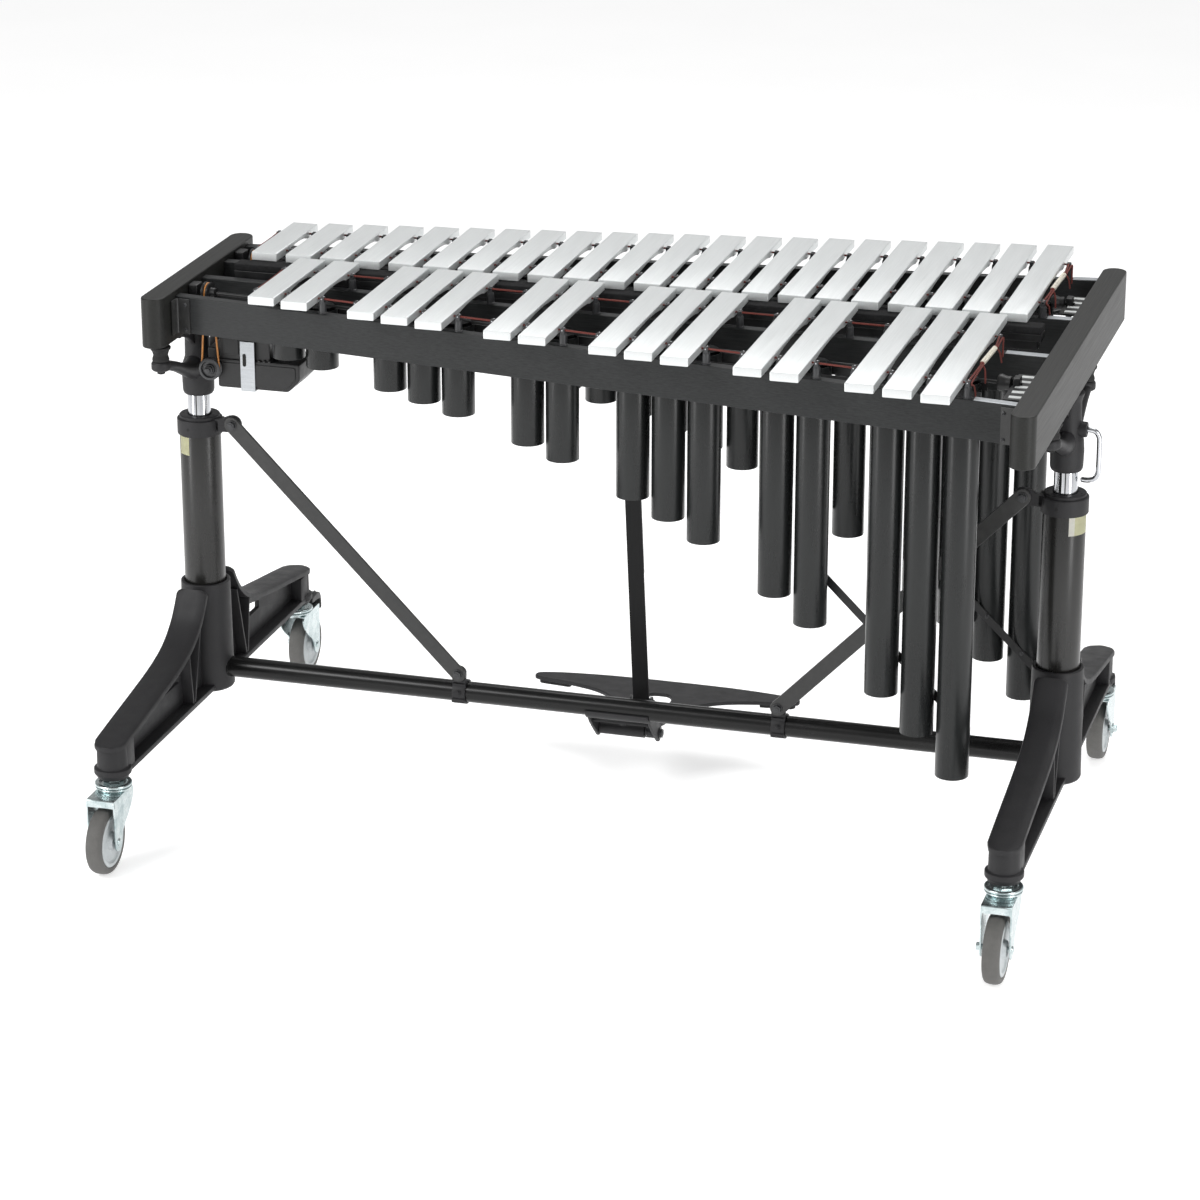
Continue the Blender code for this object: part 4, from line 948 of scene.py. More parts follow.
def cap_mesh(x, side):
    """A leg's soft-edged top flange: round at the tip, sweeping up to the hub."""
    line = curved([(p[0], p[1]) for p in CAP_CURVE], 5)
    tip = line[0]
    stations = [tip + (line[1] - tip) * s for s in (0.0, 0.06, 0.18, 0.36, 0.6)] + line[1:-1]
    stations += [line[-2].lerp(line[-1], s) for s in (0.5, 0.8, 0.94, 1.0)]
    rings = []
    for i, p in enumerate(stations):
        q = stations[min(i + 1, len(stations) - 1)] - stations[max(i - 1, 0)]
        along = q.normalized()
        down = Vector((along.y, -along.x))
        from_tip = max(p.x - tip.x, 0.0)
        from_top = (line[-1] - p).length
        half = CAP_HALF
        if from_tip < CAP_HALF:
            reach = max(CAP_HALF - from_tip - 0.0015, 0)
            half = math.sqrt(max(CAP_HALF ** 2 - reach ** 2, 0.0))
        if from_top < CAP_CORNER:
            reach = CAP_CORNER - from_top
            half = CAP_HALF - CAP_CORNER + math.sqrt(max(CAP_CORNER ** 2 - reach ** 2, 0.0))
        half = max(half, CAP_TIP_HALF)
        soft = 0.003
        ring = []
        for u, d in ((-half, CAP), (-half, soft * 0.9), (-half + soft * 0.3, soft * 0.35),
                     (-half + soft, 0.0), (-half * 0.4, -0.0005), (half * 0.4, -0.0005),
                     (half - soft, 0.0), (half - soft * 0.3, soft * 0.35), (half, soft * 0.9),
                     (half, CAP)):
            at = p + down * d
            ring.append((x + u, side * -at.x, at.y))
        rings.append(ring)
    return loft(rings)


def under(distance):
    """The cap curve moved towards the floor."""
    line = curved([(p[0], p[1]) for p in CAP_CURVE], 3)
    out = []
    for i, p in enumerate(line):
        q = (line[min(i + 1, len(line) - 1)] - line[max(i - 1, 0)]).normalized()
        out.append((p.x + q.y * distance, p.y - q.x * distance))
    return out


def leg_casting(word, x):
    """A hub with two legs: web, flanges, ribs and caster bosses."""
    hub = ((0.0308, 0.1345), (0.0372, 0.1345), (0.039, 0.138), (0.0386, 0.15),
           (0.0368, HUB_TOP - 0.001), (0.035, HUB_TOP), (0.0322, HUB_TOP),
           (0.0308, HUB_TOP - 0.002))
    meshes = [ring_of(hub, 0.0012, (x, 0, 0), 72)]
    meshes.append(rod((x, 0, 0.1352), (x, 0, 0.138), 0.032))
    foot = LEG_BOTTOM + CAP / 2
    edge = under(CAP * 0.6)
    edge = [(-CASTER_Y, edge[2][1])] + [(y, z) for y, z in edge
                                        if y > -CASTER_Y and z < HUB_TOP - 0.01]
    for side in (-1, 1):
        meshes.append(cap_mesh(x, side))
        half = [(-CASTER_Y, foot)] + edge + [(-0.02, edge[-1][1]), (-0.02, foot)]
        web = [(side * -y, z) for y, z in half]
        slot = [(-0.205, 0.184), (-0.128, 0.184), (-0.126, 0.207), (-0.14, 0.2085),
                (-0.205, 0.1965)]
        slot = [(side * -y, z) for y, z in rounded(slot, 0.003, 3, True)]
        meshes.append(plate([web, slot], 0.0075, frame_yz(x), 0.0006))
        meshes.append(block((x - 0.0225, side * 0.03, LEG_BOTTOM),
                            (x + 0.0225, side * CASTER_Y, LEG_BOTTOM + CAP), 0.0014))
        for foot_y, top_y, top in ((0.112, 0.124, 0.236), (0.108, 0.074, 0.262)):
            rib = [(side * a, b) for a, b in
                   ((foot_y - 0.002, LEG_BOTTOM + 0.004), (foot_y + 0.002, LEG_BOTTOM + 0.004),
                    (top_y + 0.002, top), (top_y - 0.002, top))]
            meshes.append(plate([rib], 0.041, frame_yz(x), 0.0008))
        boss = ((0, LEG_TOP - 0.004), (0.0218, LEG_TOP - 0.004), (0.0222, LEG_BOTTOM + 0.0115),
                (0.0268, LEG_BOTTOM + 0.01), (0.0268, LEG_BOTTOM + 0.002),
                (0.0238, LEG_BOTTOM - 0.001), (0.0222, BOSS_Z), (0, BOSS_Z))
        meshes.append(turned(rounded(boss, 0.001), (x, side * CASTER_Y, 0), sides=56))
        meshes.append(block((x - 0.0218, side * (CASTER_Y - 0.03), LEG_BOTTOM + 0.004),
                            (x + 0.0218, side * CASTER_Y, LEG_TOP - 0.003), 0.0012))
    piece("casting_" + word, meshes, "cast_black", "base", "cast_black", "base_casting_" + word,
          smooth=0.6)


def label(name, x, start, end, low, high, mat):
    """A blank sticker bent round the column. Angles are from -Y towards +X, in degrees."""
    bm = bmesh.new()
    r = COLUMN_R + 0.0002
    rows = []
    for z in (low, high):
        row = []
        for i in range(13):
            a = math.radians(lerp(start, end, i / 12))
            row.append(bm.verts.new((x + r * math.sin(a), -r * math.cos(a), z)))
        rows.append(row)
    for i in range(12):
        bm.faces.new((rows[0][i], rows[0][i + 1], rows[1][i + 1], rows[1][i]))
    bmesh.ops.solidify(bm, geom=bm.faces[:], thickness=-0.0002)
    piece(name, [mesh_of(bm)], mat, "base", "label_blank")


def column(word, x):
    """A column tube with its blank stickers."""
    wall = ((COLUMN_R - 0.003, COLUMN_FOOT), (COLUMN_R, COLUMN_FOOT), (COLUMN_R, COLUMN_TOP),
            (COLUMN_R - 0.003, COLUMN_TOP))
    tube = ring_of(wall, 0.0005, (x, 0, 0), 80, steps=2)
    piece("column_" + word, [tube], "column_black", "base", "gloss_black", "column_tube_" + word)
    if x < 0:
        label("label_left", x, -50, -12, 0.505, 0.5325, "label_blank")
    else:
        label("label_right", x, 38, 88, 0.5065, 0.5335, "label_blank")
        label("label_right_edge", x, 22, 38, 0.5065, 0.5335, "label_white")


def collar(word, x):
    """A column's top collar, with the ear that holds the brace."""
    side = 1 if x > 0 else -1
    profile = ((COLUMN_R + 0.0003, COLLAR_BOTTOM), (0.0335, COLLAR_BOTTOM),
               (0.0335, COLLAR_TOP - 0.0058), (0.0322, COLLAR_TOP - 0.0046),
               (0.03, COLLAR_TOP - 0.0046), (0.03, COLLAR_TOP - 0.0008),
               (0.029, COLLAR_TOP), (0.0188, COLLAR_TOP), (0.0172, COLLAR_TOP - 0.0016),
               (0.0172, COLUMN_TOP + 0.0006), (COLUMN_R + 0.0003, COLUMN_TOP + 0.0006))
    meshes = [ring_of(profile, 0.0008, (x, 0, 0), 80)]
    a = abs(x) - 0.0315
    ear = [(a + 0.004, EAR_Z - 0.0135), (a + 0.004, EAR_Z + 0.0055), (a - 0.006, EAR_Z + 0.0065),
           (EAR_X + 0.0065, EAR_Z + 0.0122)]
    ear += arc(EAR_X, EAR_Z, 0.0132, 70, 250, 16)
    ear = [(side * px, pz) for px, pz in ear]
    meshes.append(plate([ear], 0.006, frame_xz(-0.011), 0.001))
    meshes.append(block((side * (a - 0.004), -0.014, EAR_Z - 0.013),
                        (side * (a + 0.004), 0.01, EAR_Z + 0.004), 0.001))
    piece("collar_" + word, meshes, "cast_black", "base", "cast_black", "column_collar_" + word)
    # dark discs over the two holes in the collar's top and over its set-screw hole: painted shade
    dark = [rod((x + dx, dy, COLLAR_TOP - 0.001), (x + dx, dy, COLLAR_TOP + 0.0002), 0.0015, 14, 0)
            for dx, dy in ((-0.0235, -0.0045), (0.0235, -0.0045))]
    dark.append(rod((x - 0.006, -0.032, 0.5455), (x - 0.0062, -0.0332, 0.5455), 0.0022, 16, 0.0003))
    piece("collar_hole_shade_" + word, dark, "rubber_black", "base", "rubber_black")


def brace(word, side):
    """A flat diagonal bar with a bolt at each end. The bar is a lighter black that paints its
    sheen.
    """
    top = Vector((EAR_X, EAR_Z))
    low = Vector((CLAMP_X, CROSS_Z + 0.033))
    along = (top - low).normalized()
    angle = math.degrees(math.atan2(along.y, along.x))
    ring = arc(top.x, top.y, 0.012, angle - 90, angle + 90, 14)
    ring += arc(low.x, low.y, 0.0115, angle + 90, angle + 270, 14)
    outline = [(side * px, pz) for px, pz in ring]
    piece("brace_bar_" + word, [plate([outline], 0.004, frame_xz(-0.0163), 0.001)], "brace_black_painted_sheen",
          "base", "cast_black", "brace_" + word)
    bolts = []
    for p in (top, low):
        bolt((side * p.x, -0.0183, p.y), (side * p.x, -0.0245, p.y), 0.0062, bolts)
        bolt((side * p.x, -0.008, p.y), (side * p.x, -0.002, p.y), 0.0055, bolts)
    # the bolts take the grey, lightened past the cast black as painted light
    piece("brace_bolts_" + word, bolts, "post_grey_and_painted_light", "base", "cast_black")


def brace_clamp(word, side):
    """The clamp that holds a brace to the cross tube."""
    x = side * CLAMP_X
    band = ((CROSS_R + 0.0002, -0.01), (CROSS_R + 0.003, -0.01), (CROSS_R + 0.003, 0.01),
            (CROSS_R + 0.0002, 0.01))
    meshes = [ring_of(band, 0.0006, (x, 0, CROSS_Z), 48, (1, 0, 0), 2)]
    z = CROSS_Z + 0.033
    tongue = [(x - 0.01, CROSS_Z + 0.012), (x + 0.01, CROSS_Z + 0.012)]
    tongue += arc(x, z, 0.0112, 15, 165, 12)
    meshes.append(plate([tongue], 0.006, frame_xz(-0.011), 0.0008))
    top = CROSS_Z + CROSS_R
    meshes.append(block((x - 0.01, -0.014, top), (x + 0.01, 0.002, top + 0.0036)))
    meshes.append(block((x - 0.01, -0.019, CROSS_Z - 0.012), (x + 0.01, -0.015, CROSS_Z - 0.006)))
    bolt((x, -0.0178, CROSS_Z + 0.004), (x, -0.0215, CROSS_Z + 0.004), 0.0036, meshes)
    piece("tube_clamp_" + word, meshes, "cast_black", "base", "cast_black", "brace_clamp_" + word)


def cross_tube():
    end = COLUMN_X - 0.034
    tube = rod((-end, 0, CROSS_Z), (end, 0, CROSS_Z), CROSS_R, 64, 0.0006)
    collars = [rod((s * end, 0, CROSS_Z), (s * (end - 0.003), 0, CROSS_Z), CROSS_R + 0.0016, 48)
               for s in (-1, 1)]
    piece("long_tube", [tube] + collars, "cross_black", "base", "gloss_black", "cross_tube")


# ---- casters -----------------------------------------------------------------------------
def caster(word, x, side):
    """Stem, fork, axle, wheel and, at the far side, a brake lever."""
    body = "caster_" + word
    y = side * CASTER_Y
    axle_y = y + side * WHEEL_OUT

    def at(points):
        return [(y + side * d, z) for d, z in points]

    disc = ((0.0052, 0.1226), (0.0168, 0.1226), (0.019, 0.1236), (0.0208, 0.1256),
            (0.026, 0.1256), (0.027, 0.124), (0.027, 0.122), (0.026, 0.1211), (0.0052, 0.1211))
    stem = [ring_of(disc, 0.0009, (x, y, 0), 56),
            hexagon((x, y, 0.1224), (x, y, BOSS_Z - 0.0004), 0.0142),
            rod((x, y, 0.1105), (x, y, 0.15), 0.005, 24)]
    piece("stem_" + word, stem, "zinc_plate", "base", "zinc_plate",
          "caster_stem_" + word)

    race = ((0.006, 0.1205), (0.025, 0.1205), (0.0263, 0.1192), (0.0263, 0.118),
            (0.0235, 0.115), (0.0215, 0.1125), (0.006, 0.1125))
    fork = [ring_of(race, 0.0008, (x, y, 0), 56)]
    half = 0.0215
    cheek = [(-0.0215, 0.109), (-0.02, 0.102), (-0.012, 0.089), (0.002, 0.076),
             (0.016, 0.066), (0.023, 0.056), (0.0262, 0.044)]
    cheek = [(p.x, p.y) for p in curved(cheek, 4)]
    cheek += arc(0.038, 0.047, 0.0118, 205, 340, 12)
    cheek += [(0.0496, 0.052), (0.05, 0.07), (0.0508, 0.09), (0.0512, 0.111),
              (0.049, 0.1145), (-0.018, 0.1145)]
    for s in (-1, 1):
        fork.append(plate([at(cheek)], 0.0025, frame_yz(x + s * (half - 0.00125)), 0.0006))
    fork.append(block((x - half, y - side * 0.019, 0.1128), (x + half, y + side * 0.0505, 0.1152),
                      0.001))
    fork.append(block((x - half, y + side * 0.0485, 0.1035), (x + half, y + side * 0.051, 0.1145),
                      0.0008))
    piece("fork_" + word, fork, "zinc_plate", body, "zinc_plate", "caster_fork_" + word)
    bolts = []
    nut = 1 if x > 0 and side > 0 else -1
    bolt((x + nut * half, axle_y, WHEEL_R), (x + nut * (half + 0.0066), axle_y, WHEEL_R), 0.0062,
         bolts)
    head = rounded(((0, 0.0024), (0.0034, 0.0022), (0.0056, 0.0008), (0.006, -0.001), (0, -0.001)),
                   0.0008, 3)
    bolts.append(turned(head, (x - nut * half, axle_y, WHEEL_R), (-nut, 0, 0), 32))
    bolts.append(rod((x - half, axle_y, WHEEL_R), (x + half, axle_y, WHEEL_R), 0.004, 20))
    piece("axle_" + word, bolts, "zinc_plate", body, "zinc_plate")

    centre = (x, axle_y, WHEEL_R)
    half_tyre = [(0.038, 0.0118), (0.043, 0.0125), (0.0468, 0.0105), (0.0486, 0.006)]
    tyre = [(r, -z) for r, z in half_tyre] + [(WHEEL_R, 0.0)] + half_tyre[::-1]
    wheel = "wheel_" + word
    piece("tyre_" + word, [ring_of(tyre, 0.003, centre, 96, (1, 0, 0))], "tyre_grey", wheel,
          "tyre_grey", "caster_wheel_" + word)
    face = [(0.0052, 0.015), (0.0112, 0.015), (0.0125, 0.0128), (0.014, 0.0092),
            (0.03, 0.0092), (0.0318, 0.0108), (0.0322, 0.0122), (0.0372, 0.0122),
            (0.0382, 0.0112)]
    hub = face + [(r, -z) for r, z in reversed(face)]
    piece("hub_" + word, [ring_of(hub, 0.0006, centre, 80, (1, 0, 0), 2)], "hub_grey", wheel,
          "wheel_hub", "caster_wheel_" + word)

    if side > 0:
        d, z = 0.047, FORK_TOP + 0.0085
        shape = [(d - 0.014, z - 0.0045), (d - 0.0145, z + 0.0028), (d - 0.002, z + 0.0052),
                 (d + 0.01, z + 0.0058), (d + 0.019, z + 0.003), (d + 0.024, z - 0.004),
                 (d + 0.0262, z - 0.014), (d + 0.026, z - 0.024), (d + 0.0215, z - 0.025),
                 (d + 0.0205, z - 0.015), (d + 0.018, z - 0.0075), (d + 0.004, z - 0.0055)]
        lever = [plate([curved(at(shape), 3, True)], 0.034, frame_yz(x), 0.0014)]
        for s in (-1, 0, 1):
            rib_x = x + s * 0.01
            lever.append(block((rib_x - 0.0016, y + side * (d + 0.002), z + 0.003),
                               (rib_x + 0.0016, y + side * (d + 0.016), z + 0.0066), 0.001))
        piece("brake_" + word, lever, "plastic_black", "brake_" + word,
              "plastic_black", "caster_brake_lever_" + word)


# ---- pedal and damper ---------------------------------------------------------------------
def pedal_bracket():
    """The hanger under the cross tube, with the pedal axle and its spring."""
    saddle = arc(0, CROSS_Z, CROSS_R + 0.0032, 190, 350, 18)
    saddle += arc(0, CROSS_Z, CROSS_R + 0.0002, 350, 190, 18)
    meshes = [plate([saddle], 0.096, frame_yz(0), 0.0005)]
    cheek = [(-0.006, CROSS_Z - 0.016), (0.016, CROSS_Z - 0.006), (0.034, CROSS_Z - 0.018)]
    cheek += arc(PEDAL_Y, PEDAL_Z, 0.0125, 55, -125, 14)
    cheek += [(0.016, CROSS_Z - 0.04), (0.004, CROSS_Z - 0.028)]
    for x in (-0.046, 0.046):
        meshes.append(plate([cheek], 0.004, frame_yz(x), 0.0008))
    meshes.append(block((-0.046, 0.01, CROSS_Z - 0.03), (0.046, 0.028, CROSS_Z - 0.0265), 0.001))
    bolt((0.0, 0.019, CROSS_Z - 0.03), (0.0, 0.019, CROSS_Z - 0.035), 0.005, meshes)
    piece("pedal_hanger", meshes, "cast_black", "base", "cast_black", "pedal_bracket")
    pin = [rod((-0.052, PEDAL_Y, PEDAL_Z), (0.052, PEDAL_Y, PEDAL_Z), 0.005, 24)]
    for s in (-1, 1):
        bolt((s * 0.0482, PEDAL_Y, PEDAL_Z), (s * 0.0535, PEDAL_Y, PEDAL_Z), 0.007, pin)
    piece("pedal_pin", pin, "post_grey_and_painted_light", "base", "zinc_plate", "pedal_axle")
    spring = [coil((0.0275, PEDAL_Y, PEDAL_Z), (0.0432, PEDAL_Y, PEDAL_Z), 0.0076, 0.001, 7, 20)]
    spring.append(wire([(0.0275, PEDAL_Y + 0.0076, PEDAL_Z),
                        (0.0275, PEDAL_Y + 0.012, PEDAL_Z - 0.0035)], 0.001))
    piece("pedal_coil", spring, "post_grey_and_painted_light", "base", "spring_steel", "pedal_return_spring",
          smooth=ROUND)


def pedal():
    """A wide curved foot plate on two arms, with rubber pads."""
    right = curved([(0.0265, PEDAL_Y - 0.0008), (0.0268, 0.066), (0.036, 0.078), (0.0425, 0.1),
                    (0.048, 0.135), (0.056, 0.168), (0.074, 0.199), (0.105, 0.224),
                    (0.15, 0.241), (0.19, 0.249), (0.206, 0.2555), (0.2095, 0.266),
                    (0.203, 0.276), (0.17, 0.286), (0.11, 0.294), (0.05, 0.2968),
                    (0.0, 0.297)], 6)
    ring = right + [(-x, y) for x, y in right[-2::-1]]
    window = [(0.0215, 0.15), (0.0255, 0.18), (0.0225, 0.214), (0.012, 0.232), (-0.012, 0.232),
              (-0.0225, 0.214), (-0.0255, 0.18), (-0.0215, 0.15)]
    window = rounded(window, 0.008, 4, True)
    tilt = Matrix.Translation((0, PEDAL_Y, PEDAL_Z)) @ Matrix.Rotation(PEDAL_TILT, 4, "X")
    back = Matrix.Translation((0, -PEDAL_Y, 0))
    meshes = [plate([ring, window], 0.006, tilt @ back, 0.0014)]
    meshes.append(rod((-0.0435, PEDAL_Y, PEDAL_Z), (0.0262, PEDAL_Y, PEDAL_Z), 0.0095, 40, 0.001))
    ridge = curved([(-0.03, 0.084), (-0.035, 0.11), (-0.0385, 0.15), (-0.043, 0.18)], 6)
    for s in (-1, 1):
        path = [tilt @ back @ Vector((s * px, py, 0.003)) for px, py in ridge]
        meshes.append(wire(path, 0.0022))
    piece("pedal_plate", meshes, "cast_black", "pedal", "cast_black", "damper_pedal")
    feet = []
    for s in (-1, 1):
        shape = rounded([(s * 0.15, 0.25), (s * 0.2, 0.257), (s * 0.204, 0.268),
                         (s * 0.15, 0.28)], 0.004, 3, True)
        feet.append(plate([shape], 0.007, tilt @ back @ Matrix.Translation((0, 0, -0.006)), 0.001))
    piece("pedal_pads", feet, "rubber_black", "pedal", "rubber_black")


def rod_frame(y, z, offset):
    """Plane of the leaning pull rods."""
    turn = Matrix.Rotation(ROD_LEAN, 4, "X") @ Matrix.Rotation(math.pi / 2, 4, "X")
    return Matrix.Translation((0, y, z)) @ turn @ Matrix.Translation((0, 0, offset))


def pull_rods():
    """Two lapped flat rods in a guide sleeve, on a clevis."""
    outline = rounded([(-0.0125, -0.008), (0.0125, -0.008), (0.0118, 0.44), (-0.0118, 0.44)],
                      0.003, 3, True)
    lower = [plate([outline], 0.004, rod_frame(ROD_Y, ROD_PIN_Z, 0.0), 0.0008),
             rod((-0.012, ROD_Y, ROD_PIN_Z), (0.012, ROD_Y, ROD_PIN_Z), 0.007, 32)]
    across = Matrix.Translation((0, 0.424, 0)) @ Matrix.Rotation(math.pi / 2, 4, "X")
    ring = rounded([(-0.015, -0.0106), (0.015, -0.0106), (0.015, 0.0032), (-0.015, 0.0032)],
                   0.002, 3, True)
    hole = [(-0.0121, -0.0086), (0.0121, -0.0086), (0.0121, 0.0012), (-0.0121, 0.0012)]
    lower.append(plate([ring, hole], 0.026, rod_frame(ROD_Y, ROD_PIN_Z, 0.0) @ across, 0.0005))
    piece("rod_lower", lower, "rod_black", "lower_rod", "resonator_black", "lower_pull_rod")
    outline = rounded([(-0.0113, -0.4), (0.0113, -0.4), (0.0113, 0.008), (-0.0113, 0.008)],
                      0.003, 3, True)
    upper = [plate([outline], 0.004, rod_frame(DAMPER_Y, ROD_TOP_Z, UPPER_OFFSET), 0.0008),
             rod((-0.0105, DAMPER_Y, ROD_TOP_Z), (0.0105, DAMPER_Y, ROD_TOP_Z), 0.007, 32)]
    piece("rod_upper", upper, "rod_black", "upper_rod", "resonator_black", "upper_pull_rod")
    clevis = [block((-0.017, ROD_Y - 0.009, ROD_Z - 0.0065), (0.017, ROD_Y + 0.009, ROD_Z - 0.0035),
                    0.0006)]
    for x in (-0.0155, 0.0155):
        ear = [(ROD_Y - 0.009, ROD_Z - 0.006), (ROD_Y + 0.009, ROD_Z - 0.006)]
        ear += arc(ROD_Y, ROD_PIN_Z, 0.009, 0, 180, 12)
        clevis.append(plate([ear], 0.003, frame_yz(x), 0.0005))
    clevis.append(rod((-0.018, ROD_Y, ROD_PIN_Z), (0.018, ROD_Y, ROD_PIN_Z), 0.003, 20))
    bolt((0.017, ROD_Y, ROD_PIN_Z), (0.0215, ROD_Y, ROD_PIN_Z), 0.0048, clevis)
    bolt((-0.017, ROD_Y, ROD_PIN_Z), (-0.0215, ROD_Y, ROD_PIN_Z), 0.0048, clevis)
    piece("rod_fork", clevis, "post_grey_and_painted_light", "clevis", "zinc_plate", "pull_rod_clevis")


DAMPER_ENDS = (-0.59, 0.6)


def damper():
    """The damper bar with its stiffening rail, its two ears and the felt on top."""
    x0, x1 = DAMPER_ENDS
    rail = [block((x0, DAMPER_Y - 0.013, 0.769), (x1, DAMPER_Y + 0.013, 0.78), 0.001),
            block((x0 + 0.006, DAMPER_Y - 0.0105, 0.756), (x1 - 0.006, DAMPER_Y + 0.0105, 0.77),
                  0.001)]
    for x in (-0.0155, 0.0155):
        ear = [(DAMPER_Y + 0.01, 0.7695), (DAMPER_Y - 0.01, 0.7695)]
        ear += arc(DAMPER_Y, ROD_TOP_Z, 0.01, 180, 360, 12)
        rail.append(plate([ear], 0.003, frame_yz(x), 0.0005))
    rail.append(rod((-0.02, DAMPER_Y, ROD_TOP_Z), (0.02, DAMPER_Y, ROD_TOP_Z), 0.003, 20))
    piece("damper_rail", rail, "flat_black", "damper", "resonator_black", "damper_bar")
    felt = block((x0, DAMPER_Y - 0.014, 0.7803), (x1, DAMPER_Y + 0.014, 0.7902), 0.0022, 3)
    piece("damper_pad", [felt], "felt_black", "damper", "felt_black", "damper_felt")


# ---- column brackets ----------------------------------------------------------------------
def chrome_tube(word, x):
    """The tube that slides in the column, with a dark strip of painted shade along its key slot."""
    bore = INNER_R - 0.002
    wall = ((bore, INNER_FOOT), (INNER_R, INNER_FOOT), (INNER_R, INNER_TOP), (bore, INNER_TOP))
    tube = ring_of(wall, 0.0004, (x, 0, 0), 72, steps=2)
    piece("inner_chrome_" + word, [tube], "chrome", "upper_frame", "chrome", "inner_tube_" + word)
    # dark strip laid along the key slot: painted shade
    groove = block((x + 0.0012, -INNER_R - 0.0002, INNER_FOOT + 0.03),
                   (x + 0.0028, -INNER_R + 0.0006, INNER_TOP - 0.004), 0.0002)
    piece("inner_slot_shade_" + word, [groove], "rubber_black", "upper_frame", "rubber_black")


def ellipse_ring(x, y, z, half_x, half_z, steps=20):
    return [(x + half_x * math.cos(a), y, z + half_z * math.sin(a))
            for a in (2 * math.pi * i / steps for i in range(steps))]


def column_bracket(word, x):
    """A socket with two arms, which carries an end board on rubber mounts."""
    socket = ((0.0172, 0.595), (0.0212, 0.595), (0.0232, 0.6), (0.0238, 0.624), (0.0226, 0.64),
              (0.0186, 0.652), (0.0178, 0.696), (0.022, 0.708), (0, 0.708), (0, 0.64),
              (0.0172, 0.64))
    meshes = [ring_of(socket, 0.002, (x, 0, 0), 64, steps=4)]
    for side in (-1, 1):
        rings = []
        for y, z, hx, hz in ((0.008, 0.639, 0.0145, 0.022), (0.022, 0.638, 0.0138, 0.017),
                             (0.04, 0.641, 0.0125, 0.012), (0.062, 0.649, 0.0112, 0.0092),
                             (0.085, 0.659, 0.0105, 0.0082), (0.108, 0.6675, 0.01, 0.0078),
                             (0.13, 0.673, 0.0098, 0.0076), (0.146, 0.675, 0.009, 0.0072),
                             (0.1505, 0.6752, 0.0072, 0.0058), (0.1522, 0.6752, 0.0036, 0.003)):
            rings.append(ellipse_ring(x, side * y, z, hx, hz))
        meshes.append(loft(rings))
        pad = rounded(((0, 0.669), (0.011, 0.669), (0.014, 0.6715), (0.014, 0.68),
                       (0.012, 0.683), (0, 0.683)), 0.0012, 3)
        meshes.append(turned(pad, (x, side * MOUNT_Y, 0), sides=40))
        rib = [(side * 0.012, 0.7085), (side * 0.086, 0.7085), (side * 0.086, 0.705),
               (side * 0.04, 0.69), (side * 0.012, 0.67)]
        meshes.append(plate([rib], 0.008, frame_yz(x), 0.0008))
    meshes.append(block((x - 0.015, -0.1, 0.7065), (x + 0.015, 0.1, 0.7108), 0.001))
    if x > 0:
        boss = ((0.0052, 0.0), (0.012, 0.0), (0.0108, 0.027), (0.0052, 0.027))
        meshes.append(ring_of(boss, 0.0012, (x, 0, LEVER_Z), 40, (1, 0, 0)))
    piece("bracket_" + word, meshes, "cast_black", "upper_frame", "cast_black",
          "column_bracket_" + word, smooth=0.6)
    mounts = []
    for side in (-1, 1):
        sleeve = rounded(((0, 0.683), (0.0115, 0.683), (0.0125, 0.686), (0.0105, 0.6925),
                          (0.0125, 0.699), (0.015, 0.702), (0.015, 0.705), (0.0105, 0.7055),
                          (0.0105, 0.7108), (0, 0.7108)), 0.001, 3)
        mounts.append(turned(sleeve, (x, side * MOUNT_Y, 0), sides=40))
        bolt((x, side * MOUNT_Y, 0.669), (x, side * MOUNT_Y, 0.6635), 0.0058, mounts)
    piece("bracket_mounts_" + word, mounts, "rubber_black", "upper_frame", "rubber_black")


def lock_lever():
    """A bent round handle."""
    x = COLUMN_X
    path = [(x + 0.02, 0, LEVER_Z), (x + 0.032, 0, LEVER_Z), (x + 0.039, 0, LEVER_Z - 0.0022),
            (x + 0.0433, 0, LEVER_Z - 0.008), (x + 0.0446, 0, LEVER_Z - 0.017),
            (x + 0.0446, 0, LEVER_Z - 0.056), (x + 0.0435, 0, LEVER_Z - 0.064),
            (x + 0.039, 0, LEVER_Z - 0.0706), (x + 0.031, 0, LEVER_Z - 0.073),
            (x + 0.0235, 0, LEVER_Z - 0.073)]
    handle = [wire(curved(path, 6), LEVER_R, resolution=6), ball(path[-1], LEVER_R)]
    piece("lock_handle", handle, "chrome", "lock_lever", "chrome", "height_lock_lever",
          smooth=ROUND)


# ---- build everything ----------------------------------------------------------------
def build():
    keyboard()
    for word, side in SIDES:
        x = side * COLUMN_X
        end_board(word)
        leg_casting(word, x)
        column(word, x)
        collar(word, x)
        brace(word, side)
        brace_clamp(word, side)
        chrome_tube(word, x)
        column_bracket(word, x)
        caster("front_" + word, x, -1)
        caster("rear_" + word, x, 1)
    rails()
    corner_plates()
    combs()
    cross_tube()
    natural_xs = [bar_left(s) + BAR_W / 2 for s in range(NATURALS)]
    sharp_xs = [sharp_left(s) + BAR_W / 2 for s in SHARP_STEPS]
    bank("natural", natural_xs, natural_mid,
         tube_lengths(range(NATURALS), NATURAL_TUBES, NATURAL_LAST), -1)
    bank("accidental", sharp_xs, sharp_mid,
         tube_lengths(SHARP_STEPS, SHARP_TUBES, SHARP_LAST), 1)
    fan_shaft("natural", natural_mid, natural_xs, "natural_fans")
    fan_shaft("accidental", sharp_mid, sharp_xs, "accidental_fans")
    motor()
    pedal_bracket()
    pedal()
    pull_rods()
    damper()
    lock_lever()


build()

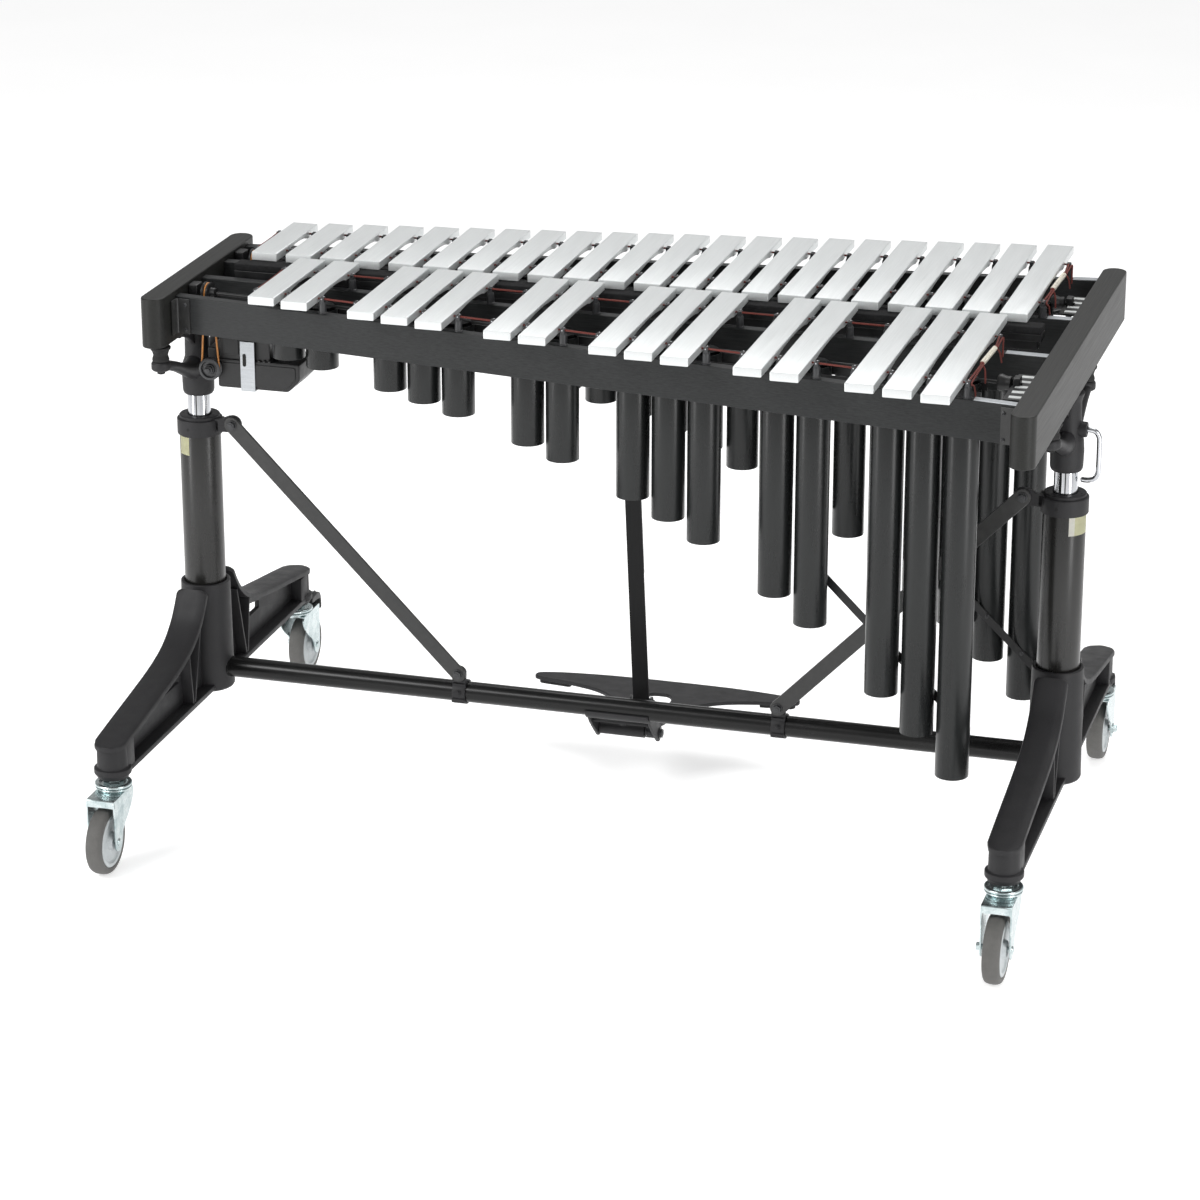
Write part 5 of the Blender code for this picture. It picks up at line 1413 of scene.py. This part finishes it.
# ---- floor, light and camera ---------------------------------------------------------
FLOOR_R = 150.0
FLOOR_GLOW = 0.52
SKY_FADE = {"From Min": 0.02, "From Max": 0.3, "To Min": 0.9, "To Max": 0.4}
# name, place, target, size and watts
LIGHTS = (("key", (-2.6, -3.2, 3.6), (0, 0, 0.5), (2.4, 1.6), 110),
          ("strip_left", (-2.3, -1.9, 0.75), (-0.2, 0, 0.4), (0.5, 1.5), 13),
          ("strip_right", (2.4, -1.3, 0.75), (0.2, 0, 0.4), (0.5, 1.5), 13),
          ("fill", (3.4, -2.2, 2.4), (0, 0, 0.4), (2.0, 1.6), 40),
          ("top", (0.2, 1.6, 3.4), (0, 0, 0.6), (3.0, 1.6), 54))
SENSOR = 36.0
LENS = 119.64
CAMERA_AT = (1.4932, -5.2291, 2.3416)
CAMERA_TILT = 20.255
CAMERA_PAN = 16.235


def floor():
    bm = bmesh.new()
    bmesh.ops.create_circle(bm, cap_ends=True, segments=64, radius=FLOOR_R)
    mesh = bpy.data.meshes.new("studio_floor")
    bm.to_mesh(mesh)
    bm.free()
    mat = surface("floor_paper", (0.86, 0.86, 0.86), (0.9, 0.9, 0.9), (0.8, 0.95),
                  grain_and_painted_reflection=(3, 3, 3), speck=200, bump=0.02)
    shader = mat.node_tree.nodes["Principled BSDF"]
    shader.inputs["Emission Color"].default_value = (1, 1, 1, 1)
    shader.inputs["Emission Strength"].default_value = FLOOR_GLOW
    mesh.materials.append(mat)
    obj = bpy.data.objects.new("studio_floor", mesh)
    bpy.context.scene.collection.objects.link(obj)


def area_light(name, location, target, size, power):
    data = bpy.data.lights.new(name, "AREA")
    data.shape = "RECTANGLE"
    data.size, data.size_y = size
    data.energy = power
    obj = bpy.data.objects.new(name, data)
    obj.location = location
    way = Vector(target) - Vector(location)
    obj.rotation_euler = way.to_track_quat("-Z", "Y").to_euler()
    bpy.context.scene.collection.objects.link(obj)


def studio():
    """A pale world, brighter at the horizon so that it meets the floor, and soft area lights."""
    world = bpy.data.worlds.new("studio")
    world.use_nodes = True
    tree = world.node_tree
    back = tree.nodes["Background"]
    back.inputs["Color"].default_value = (1.0, 1.0, 1.0, 1)
    where = tree.nodes.new("ShaderNodeTexCoord")
    split = tree.nodes.new("ShaderNodeSeparateXYZ")
    fade = tree.nodes.new("ShaderNodeMapRange")
    for key, value in SKY_FADE.items():
        fade.inputs[key].default_value = value
    tree.links.new(where.outputs["Generated"], split.inputs["Vector"])
    tree.links.new(split.outputs["Z"], fade.inputs["Value"])
    tree.links.new(fade.outputs["Result"], back.inputs["Strength"])
    bpy.context.scene.world = world
    for light in LIGHTS:
        area_light(*light)


def camera():
    data = bpy.data.cameras.new("camera")
    data.sensor_width = SENSOR
    data.lens = LENS
    data.clip_end = 400.0
    obj = bpy.data.objects.new("camera", data)
    obj.location = CAMERA_AT
    obj.rotation_euler = (math.radians(90 - CAMERA_TILT), 0, math.radians(CAMERA_PAN))
    bpy.context.scene.collection.objects.link(obj)
    bpy.context.scene.camera = obj


floor()
studio()
camera()
bpy.context.scene.view_settings.view_transform = "Standard"
